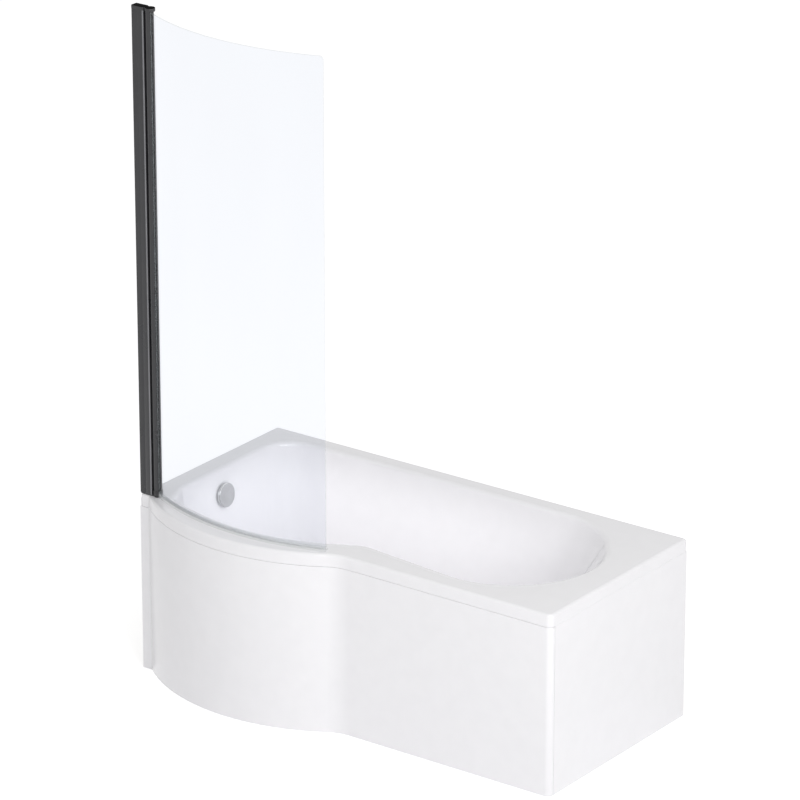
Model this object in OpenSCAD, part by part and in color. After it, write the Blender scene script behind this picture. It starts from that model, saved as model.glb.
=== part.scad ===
// P shaped shower bath with a curved, hinged glass screen.
// Plan places are given as [from the shower end wall, from the back wall], as on an
// installer's drawing, and at() turns them into the model's frame: origin on the floor
// under the middle of the plan, +X to the foot end, -Y to the room, +Z up.

/* [Bath] */
// Length of the bath, wall to foot end
bath_l = 1500; // [1400:10:1800]
// Width of the plain half
narrow_w = 697; // [670:1:740]
// Width over the crown of the showering bulge
bulge_w = 803; // [780:1:860]
// Width at the shower end, over the flat strip that carries the screen
strip_w = 669; // [650:1:680]
// Height of the bottom of the well above the floor
underside_h = 165; // [155:1:200]
// Depth of the well below the rim
well_depth = 400; // [350:1:450]
// Thickness of the reinforced acrylic
shell_t = 5; // [3:0.5:7]
// Distance from the shower end to the crown of the bulge
crown_x = 411; // [395:1:430]
// Distance from the shower end to the crease where the bulge begins
crease_x = 32; // [20:1:50]
// Radius of the hollow curve at the waist
waist_r = 135; // [90:1:180]

/* [Rim] */
// Depth of the lip that hangs from the rim
lip_h = 39; // [30:1:50]
// Thickness of the lip
lip_t = 4; // [3:0.5:5]
// Radius of the rim's outer top edge
rim_edge_r = 9; // [5:0.5:12]
// Roll of the rim into the well
rim_roll = 14; // [8:1:18]
// Rim width along the back wall
back_rim = 58; // [50:1:70]
// Rim width at the shower end
end_rim = 71; // [60:1:80]
// Rim width at the crown of the bulge
crown_rim = 103; // [90:1:112]
// Rim width at the waist
waist_rim = 105; // [90:1:120]
// Rim width along the front near the foot end
front_rim = 55; // [45:1:70]
// Rim width at the foot end
foot_rim = 99; // [90:1:110]

/* [Well] */
// How far the shower end wall leans in over the depth of the well
end_run = 48; // [30:1:70]
// How far the side walls lean in
side_run = 52; // [35:1:70]
// How far the backrest leans in
backrest_run = 272; // [220:4:312]
// Size of the curve between wall and floor
foot_curve = 70; // [50:1:80]

/* [Panels] */
// Thickness of the panels
panel_t = 4; // [3:0.5:5]
// Seam between the lip and a panel
seam = 1.5; // [1:0.1:3]
// Height of the tongue that stands behind the lip
tongue_h = 24; // [15:1:28]
// Width of the front panel's return round the foot end corner
return_w = 20; // [12:1:30]
// Width of the timber strips glued behind the panels
strip_h = 40; // [30:1:60]
// Thickness of those strips
strip_t = 12; // [9:1:18]

/* [Legs] */
// Thickness of the board under the floor of the well
board_t = 18; // [12:1:22]
// Height of a leg rail
rail_h = 28; // [20:1:32]
// Width of a leg rail
rail_w = 40; // [30:1:50]
// Wall of a leg rail
rail_wall = 2; // [1.5:0.5:3]
// Distance of the first rail from the shower end
rail_1_x = 330; // [300:5:400]
// Distance of the second rail from the shower end
rail_2_x = 1010; // [900:5:1050]
// Diameter of the threaded feet
stud_d = 12; // [10:1:14]
// Diameter of the foot pads
pad_d = 46; // [40:1:60]

/* [Waste] */
// Distance of the waste from the shower end
waste_x = 240; // [225:1:270]
// Distance of the waste and overflow from the back wall
waste_y = 370; // [350:1:390]
// Diameter of the hole for the waste and for the overflow
waste_hole_d = 52; // [50:1:54]
// Diameter of the waste flange
flange_d = 70; // [66:1:78]
// Travel of the click plug
plug_travel = 9; // [6:1:10]
// Outside diameter of the trap outlet
outlet_d = 40; // [38:0.5:43]
// Diameter of the overflow cover
cover_d = 75; // [70:1:90]
// Depth of the overflow's centre below the rim
overflow_drop = 84; // [75:1:95]
// Outside diameter of the overflow hose
hose_d = 30; // [26:1:32]

/* [Screen] */
// Height of the screen above the rim, over its top cap
screen_h = 1510; // [1300:10:1600]
// Thickness of the glass
glass_t = 6; // [5:1:8]
// Distance of the glass apex in from the crown of the bulge
glass_inset = 51; // [40:1:60]
// Distance of the glass apex from the shower end
glass_apex_x = 433; // [420:1:450]
// Distance of the free edge of the glass from the shower end
glass_end_x = 713; // [600:1:730]
// Width of the wall channel, out from the wall
channel_w = 44; // [36:1:46]
// Depth of the wall channel and diameter of the pivot post
channel_d = 25; // [22:0.5:28]
// Wall of the aluminium profiles
profile_wall = 2; // [1.5:0.5:2.5]
// Diameter of the pivot pins
pin_d = 8; // [6:0.5:10]

/* [Hidden] */

white = [0.93, 0.93, 0.95];
black = [0.16, 0.16, 0.17];
timber = [0.76, 0.62, 0.42];
zinc = [0.72, 0.73, 0.75];
plastic = [0.9, 0.9, 0.9];
rubber = [0.2, 0.2, 0.2];
chrome = [0.78, 0.79, 0.8];

// A place on the plan, from the shower end wall and the back wall
function at(x, y) = [x - bath_l / 2, bulge_w / 2 - y];
end_x = at(0, 0).x;
foot_x = at(bath_l, 0).x;
back_y = at(0, 0).y;
floor_z = underside_h;
rim_h = underside_h + well_depth;

// One rounded corner of an outline that runs clockwise: steps + 1 points, each with the
// outward normal. Where the outline goes straight on, the points spread along it.
function corner(before, tip, after, r, steps) =
    let (u = (tip - before) / norm(tip - before), v = (after - tip) / norm(after - tip),
         turn = atan2(u.x * v.y - u.y * v.x, u * v), side = turn > 0 ? -1 : 1,
         n = [-u.y, u.x], start = tip - u * r * tan(abs(turn) / 2))
    [for (i = [0:steps])
        abs(turn) < 0.01
            ? let (p = tip + u * r * (2 * i / steps - 1)) [p.x, p.y, n.x, n.y]
            : let (a = turn * i / steps,
                   m = [n.x * cos(a) - n.y * sin(a), n.x * sin(a) + n.y * cos(a)],
                   p = start - side * r * n + side * r * m)
              [p.x, p.y, m.x, m.y]];

// How finely each of the eight corners of an outline is divided
corner_steps = [7, 8, 6, 8, 7, 22, 5, 4];
function outline(tips) =
    [for (k = [0:7])
        let (a = tips[(k + 7) % 8], b = tips[k], c = tips[(k + 1) % 8])
        each corner([a.x, a.y], [b.x, b.y], [c.x, c.y], b.z, corner_steps[k])];
function ring(stations, out = 0) = [for (s = stations) [s[0] + s[2] * out, s[1] + s[3] * out]];
function level(points, z) = [for (p = points) [p.x, p.y, z]];
function blend(a, b, share) = [for (i = [0:len(a) - 1]) a[i] * (1 - share) + b[i] * share];
function curve(a, b, c, share) = blend(blend(a, b, share), blend(b, c, share), share);

// Where the tangents at the two ends of a bulge meet. The bulge crowns at depth y and runs
// from angle left to angle right, both from straight ahead.
function crown_tip(x, y, r, left, right) =
    let (d = r / cos((left + right) / 2), a = (right - left) / 2)
    at(x + d * sin(a), y - r + d * cos(a));
// Where the tangent at the right end of a bulge crosses a line at depth line_y
function waist_tip(x, y, r, right, line_y) =
    at(x + r * sin(right) + (y - r + r * cos(right) - line_y) / tan(right), line_y);
function tip(p, r) = [p.x, p.y, r];

// Plan of the rim. The bulge starts at a crease beside the flat strip.
bulge_r = ((crown_x - crease_x) ^ 2 + (bulge_w - strip_w) ^ 2) / (2 * (bulge_w - strip_w));
bulge_left = acos((strip_w - bulge_w + bulge_r) / bulge_r);
bulge_right = acos((narrow_w + waist_r - bulge_w + bulge_r) / (bulge_r + waist_r));
crisp = 3;
ease = 0.3;
wall_corner_r = rim_edge_r + 1;
front_corner_r = 18;
rim_tips = [
    tip(at(0, 0), wall_corner_r), tip(at(bath_l, 0), wall_corner_r),
    tip(at(bath_l, narrow_w / 2), narrow_w / 6), tip(at(bath_l, narrow_w), front_corner_r),
    tip(waist_tip(crown_x, bulge_w, bulge_r, bulge_right, narrow_w), waist_r),
    tip(crown_tip(crown_x, bulge_w, bulge_r, bulge_left - ease, bulge_right), bulge_r),
    tip(at(crease_x, strip_w), crisp), tip(at(0, strip_w), wall_corner_r)
];
rim_line = outline(rim_tips);

// Plan of the well where it meets the rim, and of its floor
well_crown_r = bulge_r + 37;
well_left = 16;
well_right = 27;
tip_depth = narrow_w * 0.54;
// The well's front corner beside the strip, behind its crown, and how far the corner is cut off
well_corner_y = bulge_w - crown_rim - 53;
corner_cut = 88;
// The foot end of the mouth is a half round, drawn by three wide corners. The middle one turns
// twice foot_turn.
foot_round = 274;
foot_turn = 40;
round_x = bath_l - foot_rim - foot_round;
round_y = (back_rim + narrow_w - front_rim) / 2;
shoulder_x = round_x + (foot_round - (round_y - back_rim) * sin(foot_turn)) / cos(foot_turn);
mouth_tips = [
    tip(at(end_rim, back_rim), 105), tip(at(shoulder_x, back_rim), foot_round - 2),
    tip(at(round_x + foot_round / cos(foot_turn), round_y), foot_round - 2),
    tip(at(shoulder_x, narrow_w - front_rim), foot_round - 2),
    tip(waist_tip(crown_x, bulge_w - crown_rim, well_crown_r, well_right, narrow_w - waist_rim), 90),
    tip(crown_tip(crown_x, bulge_w - crown_rim, well_crown_r, well_left, well_right), well_crown_r),
    tip(at(end_rim + 36, well_corner_y), 46), tip(at(end_rim, well_corner_y - corner_cut), 60)
];
mouth_line = outline(mouth_tips);
basin_x = end_rim + end_run;
floor_foot_x = bath_l - foot_rim - backrest_run;
floor_crown = bulge_w - crown_rim - 1.35 * side_run;
floor_tips = [
    tip(at(basin_x, back_rim + side_run), 95),
    tip(at(floor_foot_x - 60, back_rim + side_run), 125),
    tip(at(floor_foot_x, tip_depth), 150),
    tip(at(floor_foot_x - 55, narrow_w - front_rim - side_run), 130),
    tip(waist_tip(crown_x, floor_crown, well_crown_r, well_right - 7,
                  narrow_w - waist_rim - side_run / 2), 150),
    tip(crown_tip(crown_x, floor_crown, well_crown_r, well_left, well_right - 7), well_crown_r),
    tip(at(basin_x + 34, well_corner_y - side_run), 80),
    tip(at(basin_x, well_corner_y - corner_cut - side_run / 2), 80)
];
floor_line = outline(floor_tips);

// A closed skin through rings of equal length, capped at both ends
module skin(rings) {
    n = len(rings[0]);
    sides = [for (k = [0:len(rings) - 2]) for (i = [0:n - 1])
        let (j = (i + 1) % n, a = k * n, b = a + n)
        each [[a + i, a + j, b + j], [a + i, b + j, b + i]]];
    first = [for (i = [n - 1:-1:0]) i];
    last = [for (i = [0:n - 1]) (len(rings) - 1) * n + i];
    polyhedron([for (r = rings) each r], concat([first, last], sides), convexity = 8);
}

// Rings of the well from its floor up to the rim, out by one thickness for the underside
fillet_share = foot_curve / well_depth;
function well_rings(out) =
    let (top = level(ring(mouth_line, out), rim_h - out),
         foot = level(ring(floor_line, out), floor_z - out),
         rise = blend(foot, top, fillet_share),
         inner = level(ring(floor_line, out - foot_curve), floor_z - out))
    [for (q = [0:0.2:1]) curve(inner, foot, rise, q)];
function roll_rings() =
    let (edge = level(ring(mouth_line), rim_h), foot = level(ring(floor_line), floor_z),
         out = level(ring(mouth_line, rim_roll), rim_h))
    [for (q = [0:0.25:1]) curve(blend(edge, foot, rim_roll / well_depth), edge, out, q)];
function edge_rings() =
    [for (a = [0:22.5:90])
        level(ring(rim_line, -rim_edge_r * (1 - sin(a))), rim_h - rim_edge_r * (1 - cos(a)))];
function reversed(rings) = [for (k = [len(rings) - 1:-1:0]) rings[k]];

// The overflow sits square on the leaning shower end wall
end_lean = atan(end_run / well_depth);
overflow_z = rim_h - overflow_drop;
overflow_x = end_rim + end_run * overflow_drop / well_depth;
module at_overflow() {
    translate([end_x + overflow_x, at(0, waste_y).y, overflow_z]) rotate([0, 90 - end_lean, 0]) children();
}
module at_waste(z = 0) {
    translate([at(waste_x, waste_y).x, at(waste_x, waste_y).y, z]) children();
}
// A plain tube, or a ring, standing on its own origin
module tube(outer, inner, h) {
    difference() {
        cylinder(d = outer, h = h, $fn = 64);
        translate([0, 0, -1]) cylinder(d = inner, h = h + 2, $fn = 64);
    }
}
module block(low, high) { translate(low) cube(high - low); }

// --- Bath ---
module bath_shell() {
    color(white) difference() {
        skin(concat(
            well_rings(0), roll_rings(), edge_rings(),
            [level(ring(rim_line), rim_h - lip_h), level(ring(rim_line, -lip_t), rim_h - lip_h),
             level(ring(rim_line, -lip_t), rim_h - shell_t),
             level(ring(mouth_line, shell_t), rim_h - shell_t)],
            reversed(well_rings(shell_t))));
        at_waste(floor_z - 2 * shell_t) cylinder(d = waste_hole_d, h = 4 * shell_t, $fn = 64);
        at_overflow() translate([0, 0, -30]) cylinder(d = waste_hole_d, h = 50, $fn = 64);
    }
}

// The board bonded under the floor of the well
board_inset = 25;
board_low = floor_z - shell_t - board_t;
board_hole_d = 88;
module baseboard() {
    color(timber) difference() {
        translate([0, 0, board_low]) linear_extrude(board_t) polygon(ring(floor_line, -board_inset));
        at_waste(board_low - 1) cylinder(d = board_hole_d, h = board_t + 2, $fn = 64);
        translate(foot_places[4]) cylinder(d = stud_d + 4, h = rim_h, $fn = 48);
        rail_screw_holes();
        plate_screw_holes();
    }
}

// Timber battens under the rim, clear of the lip
batten_w = 34;
batten_h = 36;
batten_top = rim_h - shell_t;
batten_low = batten_top - batten_h;
tongue_gap = 0.3;
behind_tongue = lip_t + tongue_gap + panel_t + 1;
// A batten between two opposite corners on the plan, the second nearer the foot end and the front
module batten(a, b) { color(timber) block([a.x, b.y, batten_low], [b.x, a.y, batten_top]); }
module rim_batten_back() {
    difference() {
        batten(at(lip_t + batten_w + 4, lip_t + 1), at(bath_l - lip_t - batten_w, lip_t + 1 + batten_w));
        bracket_screw_holes();
    }
}
module rim_batten_front() {
    batten(at(waist_end_x + 20, narrow_w - behind_tongue - batten_w),
           at(bath_l - batten_w, narrow_w - behind_tongue));
}
module rim_batten_end() { batten(at(lip_t + 1, 60), at(lip_t + 1 + batten_w, strip_w - 90)); }

// --- Panels ---
waist_end_x = crown_x + (bulge_r + waist_r) * sin(bulge_right);
panel_top = rim_h - lip_h - seam;
foot_flange = front_corner_r - 2;
first_front = 24;
last_front = 69;
// The front of the rim line, from the return round the foot end corner to the flat strip,
// where it stops short of the shower end
function front_path(short) = concat(
    [[foot_x, at(0, narrow_w - return_w).y, 1, 0]],
    [for (i = [first_front:last_front]) rim_line[i]],
    [[end_x + short, at(0, strip_w).y, 0, -1]]);
// A wall that follows the front of the bath, from inset a to inset b inside the rim line
module front_wall(a, b, low, high, short = 0) {
    outer = ring(front_path(short), -a);
    inner = ring(front_path(short), -b);
    translate([0, 0, low]) linear_extrude(high - low)
        polygon(concat(outer, [for (i = [len(inner) - 1:-1:0]) inner[i]]));
}
module front_panel() {
    tongue = lip_t + tongue_gap;
    color(white) {
        front_wall(0, panel_t, 0, panel_top);
        front_wall(0, tongue + panel_t, panel_top - panel_t, panel_top);
        front_wall(tongue, tongue + panel_t, panel_top - panel_t, panel_top + tongue_h, wall_corner_r + 2);
        front_wall(0, foot_flange, 0, panel_t);
    }
}
end_panel_front = narrow_w - return_w - seam;
end_panel_back = 3;
// A block on the foot end, from inset a to inset b, between two depths and two heights
module end_block(a, b, near, far, low, high) {
    block([foot_x - b, at(0, far).y, low], [foot_x - a, at(0, near).y, high]);
}
module end_panel() {
    tongue = lip_t + tongue_gap;
    n = end_panel_back;
    f = end_panel_front;
    color(white) {
        end_block(0, panel_t, n, f, 0, panel_top);
        end_block(0, tongue + panel_t, n + panel_t, f, panel_top - panel_t, panel_top);
        end_block(tongue, tongue + panel_t, wall_corner_r + 2, f,
                  panel_top - panel_t, panel_top + tongue_h);
        end_block(0, foot_flange, n, f - return_w, 0, panel_t);
        end_block(0, return_w, n, n + panel_t, 0, panel_top);
    }
}
// Heights of the two timber strips behind each panel
strip_low = panel_t + 6;
strip_heights = [strip_low, panel_top - panel_t - 4 - strip_h];
front_strip_x = [waist_end_x + 20, bath_l - return_w - 24];
module front_panel_strips() {
    color(timber) difference() {
        for (z = strip_heights)
            block([at(front_strip_x[0], 0).x, at(0, narrow_w - panel_t).y, z],
                  [at(front_strip_x[1], 0).x, at(0, narrow_w - panel_t - strip_t).y, z + strip_h]);
        panel_screw_holes();
    }
}
module end_panel_strips() {
    color(timber) difference() {
        for (z = strip_heights)
            end_block(panel_t, panel_t + strip_t, return_w + 24, end_panel_front - return_w - 24,
                      z, z + strip_h);
        panel_screw_holes();
    }
}

// Zinc angles that stand on the floor and hold the lower strips
angle_t = 2;
angle_w = 40;
angle_leg = 44;
front_angle_x = [for (s = [0.2, 0.8]) front_strip_x[0] * (1 - s) + front_strip_x[1] * s];
end_angle_y = [for (s = [0.3, 0.7]) end_panel_front * s];
module at_angles() {
    for (x = front_angle_x)
        translate([at(x, 0).x, at(0, narrow_w - panel_t - strip_t).y, 0]) rotate([0, 0, 90]) children();
    for (y = end_angle_y)
        translate([foot_x - panel_t - strip_t, at(0, y).y, 0]) rotate([0, 0, 180]) children();
}
screw_d = 4;
screw_head_d = 8;
// A screw driven along +Z from its own origin: head outside, shank inside
module screw(l) {
    translate([0, 0, -2.5]) cylinder(d = screw_head_d, h = 2.5, $fn = 32);
    translate([0, 0, -0.01]) cylinder(d = screw_d, h = l, $fn = 32);
}
module screw_hole(l) { translate([0, 0, -3]) cylinder(d = screw_d + 0.2, h = l + 3.2, $fn = 32); }
panel_screw_z = strip_low + strip_h / 2;
panel_screw_l = angle_t + strip_t - 2;
module at_panel_screws() {
    at_angles() for (y = [-1, 1])
        translate([angle_t, y * angle_w / 4, panel_screw_z]) rotate([0, -90, 0]) children();
}
module panel_screw_holes() { at_panel_screws() screw_hole(panel_screw_l); }
module panel_brackets() {
    color(zinc) difference() {
        at_angles() {
            block([0, -angle_w / 2, 0], [angle_t, angle_w / 2, strip_low + strip_h - 4]);
            difference() {
                block([0, -angle_w / 2, 0], [angle_leg, angle_w / 2, angle_t]);
                translate([angle_leg * 0.6, 0, -1]) cylinder(d = 5.5, h = angle_t + 2, $fn = 32);
            }
        }
        panel_screw_holes();
    }
}
module panel_screws() { color(zinc) at_panel_screws() screw(panel_screw_l); }

// Steel angles that tie the back of the rim to the wall
wall_bracket_pitch = 450;
wall_bracket_drop = 56;
wall_bracket_w = 44;
wall_bracket_t = 2.5;
wall_bracket_hole_d = 5.5;
bracket_screw_l = wall_bracket_t + batten_h * 0.6;
module at_wall_brackets() {
    for (k = [-1:1]) translate([k * wall_bracket_pitch, back_y, batten_low]) children();
}
module at_bracket_screws() {
    at_wall_brackets() for (x = [-1, 1])
        translate([x * wall_bracket_w / 4, -lip_t - batten_w / 2 - 1, -wall_bracket_t]) children();
}
module bracket_screw_holes() { at_bracket_screws() screw_hole(bracket_screw_l); }
module wall_brackets() {
    w = wall_bracket_w / 2;
    color(zinc) difference() {
        at_wall_brackets() {
            block([-w, -lip_t - batten_w, -wall_bracket_t], [w, 0, 0]);
            block([-w, -wall_bracket_t, -wall_bracket_drop], [w, 0, 0]);
        }
        bracket_screw_holes();
        at_wall_brackets() translate([0, 1, -wall_bracket_drop / 2 - 4]) rotate([90, 0, 0])
            cylinder(d = wall_bracket_hole_d, h = wall_bracket_t + 2, $fn = 32);
    }
}
module bracket_screws() { color(zinc) at_bracket_screws() screw(bracket_screw_l); }

// --- Legs ---
rail_low = board_low - rail_h;
rail_1_y = [105, strip_w - 14];
rail_2_y = [100, narrow_w - 100];
foot_in = 26;
rails = [[rail_1_x, rail_1_y], [rail_2_x, rail_2_y]];
foot_places = [
    for (rail = rails) for (y = [rail[1][0] + foot_in, rail[1][1] - foot_in])
        [at(rail[0], 0).x, at(0, y).y, 0],
    [at((rail_1_x + rail_2_x) / 2, 0).x, at(0, tip_depth).y, 0]
];
module at_rail_screws() {
    for (rail = rails) for (s = [0.22, 0.4, 0.6, 0.78])
        translate([at(rail[0], 0).x, at(0, rail[1][0] * (1 - s) + rail[1][1] * s).y, rail_low])
            children();
}
rail_screw_l = rail_h + board_t * 0.6;
module rail_screw_holes() { at_rail_screws() screw_hole(rail_screw_l); }
module leg_rail(x, y) {
    w = rail_w / 2;
    color(zinc) difference() {
        block([at(x, 0).x - w, at(0, y[1]).y, rail_low], [at(x, 0).x + w, at(0, y[0]).y, board_low]);
        block([at(x, 0).x - w + rail_wall, at(0, y[1]).y - 1, rail_low + rail_wall],
              [at(x, 0).x + w - rail_wall, at(0, y[0]).y + 1, board_low + 1]);
        for (k = [0:3]) translate(foot_places[k]) cylinder(d = stud_d + 0.4, h = rim_h, $fn = 48);
        rail_screw_holes();
    }
}
module leg_rail_1() { leg_rail(rail_1_x, rail_1_y); }
module leg_rail_2() { leg_rail(rail_2_x, rail_2_y); }
plate_w = 90;
plate_t = 3;
module at_plate_screws() {
    for (x = [-1, 1]) for (y = [-1, 1])
        translate(foot_places[4] + [x * plate_w / 3, y * plate_w / 3, board_low - plate_t]) children();
}
module plate_screw_holes() { at_plate_screws() screw_hole(board_t * 0.7); }
module centre_foot_plate() {
    w = plate_w / 2;
    color(zinc) difference() {
        translate(foot_places[4]) block([-w, -w, board_low - plate_t], [w, w, board_low]);
        translate(foot_places[4]) cylinder(d = stud_d + 0.4, h = rim_h, $fn = 48);
        plate_screw_holes();
    }
}
module rail_screws() {
    color(zinc) {
        at_rail_screws() screw(rail_screw_l);
        at_plate_screws() screw(board_t * 0.7);
    }
}

nut_h = 10;
nut_d = stud_d * 1.8;
// Radial clearance of a thread in its nut, and of a pin in its bore
running = 0.08;
module nut(z) {
    translate([0, 0, z]) difference() {
        cylinder(d = nut_d, h = nut_h, $fn = 6);
        translate([0, 0, -1]) cylinder(r = stud_d / 2 + running, h = nut_h + 2, $fn = 48);
    }
}
module foot_nuts() {
    color(zinc) {
        for (k = [0:3]) translate(foot_places[k]) { nut(rail_low - nut_h); nut(rail_low + rail_wall); }
        translate(foot_places[4]) nut(board_low - plate_t - nut_h);
    }
}
pad_h = 22;
stud_seat = 10;
module foot_stud(k) {
    top = k < 4 ? board_low - 12 : board_low + 4;
    color(zinc) translate(foot_places[k] + [0, 0, stud_seat])
        cylinder(d = stud_d, h = top - stud_seat, $fn = 48);
}
module foot_pad(k) {
    hub = stud_d / 2 + 5;
    color(rubber) translate(foot_places[k]) rotate_extrude($fn = 48)
        polygon([[0, 0], [pad_d / 2, 0], [pad_d / 2, 5], [hub + 2, 11], [hub, 13], [hub, pad_h],
                 [stud_d / 2 + 0.1, pad_h], [stud_d / 2 + 0.1, stud_seat], [0, stud_seat]]);
}

// --- Waste ---
tail_d = 45;
seal_up = 1;
seal_low = 3;
flange_t = 2.5;
flange_top = floor_z + seal_up + flange_t;
tail_low = floor_z - 30;
stem_d = 8;
body_top = floor_z - shell_t - seal_low;
inlet_z = board_low - 20;
body_r = 28;
body_low = inlet_z - 18;
neck_r = 23.5;
neck_low = body_low - 22;
module waste_seal_upper() {
    color(rubber) at_waste(floor_z) tube(flange_d - 4, tail_d + 1, seal_up);
}
module waste_flange() {
    tail = tail_d / 2;
    color(chrome) at_waste() {
        rotate_extrude($fn = 64) polygon([
            [tail - 3, flange_top - 1], [tail, flange_top], [flange_d / 2 - 3, flange_top],
            [flange_d / 2, floor_z + seal_up], [tail, floor_z + seal_up], [tail, tail_low],
            [tail - 3, tail_low]]);
        difference() {
            intersection() {
                for (a = [0, 90]) rotate([0, 0, a]) translate([-tail, -2, tail_low]) cube([2 * tail, 4, 5]);
                translate([0, 0, tail_low - 1]) cylinder(r = tail - 1, h = 8, $fn = 64);
            }
            translate([0, 0, tail_low - 1]) cylinder(d = 12, h = 9, $fn = 48);
        }
        translate([0, 0, tail_low]) tube(14, stem_d + 2 * running, 5);
    }
}
plug_low = flange_top + plug_travel + 1.4;
plug_d = 60;
module waste_plug() {
    r = plug_d / 2;
    color(chrome) at_waste(plug_low) rotate_extrude($fn = 64)
        polygon([[0, 0], [r - 2, 0], [r, 1.2], [r - 1.5, 2.8], [r / 2, 4.4], [0, 5]]);
}
module plug_seal() { color(rubber) at_waste(plug_low - 1.2) tube(plug_d - 8, tail_d - 4, 1.2); }
module plug_stem() {
    color(chrome) at_waste() {
        translate([0, 0, tail_low - 3.8]) cylinder(d = stem_d, h = plug_low - tail_low + 3.8, $fn = 48);
        translate([0, 0, tail_low - 3.8]) cylinder(d = 12, h = 3.5, $fn = 48);
    }
}
// Round wire wound as one unbroken helix
spring_turns = 6;
wire_d = 1.2;
spring_d = 12;
module plug_spring() {
    low = tail_low + 5 + wire_d / 2 + 0.1;
    high = plug_low - wire_d / 2 - 0.1;
    steps = 16;
    rings = [for (i = [0:spring_turns * steps])
        let (a = 360 * i / steps, z = low + (high - low) * i / (spring_turns * steps))
        [for (b = [0:60:300])
            let (r = spring_d / 2 + wire_d / 2 * cos(b))
            [r * cos(a), -r * sin(a), z + wire_d / 2 * sin(b)]]];
    color(zinc) at_waste() skin(rings);
}
module waste_seal_lower() {
    color(rubber) at_waste(body_top) tube(2 * body_r + 14, tail_d + 4, seal_low);
}
module waste_body() {
    bore = tail_d / 2 + 0.3;
    color(plastic) difference() {
        union() {
            at_waste() rotate_extrude($fn = 64) polygon([
                [bore, body_top], [body_r + 7, body_top], [body_r + 7, body_top - 4],
                [body_r, body_top - 6], [body_r, body_low], [neck_r, body_low - 4],
                [neck_r, neck_low], [neck_r - 4, neck_low], [neck_r - 4, body_low - 1],
                [bore, body_low + 4]]);
            at_waste(inlet_z) rotate([0, -90, 0])
                cylinder(d = hose_bore - 0.6, h = body_r + spigot_l, $fn = 48);
        }
        at_waste(inlet_z) rotate([0, -90, 0])
            cylinder(d = hose_bore - 4, h = body_r + spigot_l + 1, $fn = 48);
        at_waste(body_low + 4) cylinder(d = tail_d + 0.6, h = body_top - body_low, $fn = 64);
    }
}
nut_top = body_low - 8;
module trap_nut() {
    color(plastic) at_waste(neck_low - 8) difference() {
        cylinder(r = neck_r + 8, h = nut_top - neck_low + 8, $fn = 12);
        translate([0, 0, -1]) cylinder(r = neck_r + 0.2, h = nut_top - neck_low + 12, $fn = 64);
    }
}
trap_low = 13;
trap_r = 46;
trap_top = neck_low - 20;
trap_wall = 3;
outlet_z = trap_low + 28;
collar_l = trap_r + 6;
outlet_l = trap_r + 46;
module toward_outlet() { translate([0, 0, outlet_z]) rotate([0, -90, 0]) children(); }
module trap_body() {
    color(plastic) at_waste() difference() {
        union() {
            translate([0, 0, trap_low]) cylinder(r = trap_r, h = trap_top - trap_low, $fn = 64);
            translate([0, 0, trap_top - 1]) cylinder(r = neck_r, h = neck_low - trap_top + 1, $fn = 64);
            toward_outlet() cylinder(d = outlet_d, h = outlet_l, $fn = 64);
            toward_outlet() cylinder(d = outlet_d + 8, h = collar_l, $fn = 64);
        }
        difference() {
            translate([0, 0, trap_low + trap_wall])
                cylinder(r = trap_r - trap_wall, h = trap_top - trap_low - 2 * trap_wall, $fn = 64);
            translate([0, 0, trap_low + 14]) cylinder(r = neck_r - 1, h = rim_h, $fn = 64);
        }
        translate([0, 0, trap_low + 13]) cylinder(r = neck_r - 4, h = rim_h, $fn = 64);
        difference() {
            toward_outlet() cylinder(d = outlet_d - 5, h = outlet_l + 1, $fn = 64);
            translate([0, 0, trap_low]) cylinder(r = neck_r - 1, h = rim_h, $fn = 64);
        }
    }
}

// --- Overflow ---
hose_bore = hose_d - 8;
spigot_l = 24;
end_wall_n = shell_t * (1 + end_run / well_depth) * cos(end_lean);
seal_back = -end_wall_n - 3;
cup_depth = 30;
cup_r = 24;
hose_x = end_x + overflow_x + (seal_back - cup_depth / 2) * cos(end_lean);
hose_y = at(0, waste_y).y;
hose_top = overflow_z + seal_back * sin(end_lean) - cup_r - 18;
cover_face = 13;
module overflow_cover() {
    r = cover_d / 2;
    color(chrome) at_overflow() {
        rotate_extrude($fn = 64) polygon([
            [0, cover_face], [r - 2.5, cover_face], [r - 0.7, cover_face - 0.8],
            [r, cover_face - 2.5], [r, 4], [r - 1.5, 4], [r - 1.5, cover_face - 3],
            [0, cover_face - 3]]);
        translate([0, 0, seal_back - 6]) cylinder(d = stem_d, h = cover_face - 2 - seal_back + 6, $fn = 48);
    }
}
module overflow_seal() {
    color(rubber) at_overflow() translate([0, 0, seal_back]) tube(2 * cup_r + 20, waste_hole_d + 2, 3);
}
// A short round spigot that the top of the hose is pushed on
module hose_spigot(d, past) {
    translate([hose_x, hose_y, hose_top - spigot_l + 6 - past])
        cylinder(d = d, h = spigot_l + 26 + 2 * past, $fn = 48);
}
module overflow_body() {
    hub = stem_d / 2 + 3;
    color(plastic) {
        difference() {
            union() {
                at_overflow() translate([0, 0, seal_back - 4]) cylinder(r = cup_r + 10, h = 4, $fn = 64);
                at_overflow() translate([0, 0, seal_back - cup_depth])
                    cylinder(r = cup_r, h = cup_depth, $fn = 64);
                hose_spigot(hose_bore - 0.6, 0);
            }
            at_overflow() translate([0, 0, seal_back - cup_depth + 3])
                cylinder(r = cup_r - 3, h = cup_depth, $fn = 64);
            hose_spigot(hose_bore - 4, 5);
        }
        at_overflow() translate([0, 0, seal_back - 6]) {
            tube(2 * hub, stem_d + 0.2, 6);
            for (a = [45:90:315]) rotate([0, 0, a])
                block([hub - 1, -1.5, 0], [cup_r - 1, 1.5, 5]);
        }
    }
}
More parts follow.
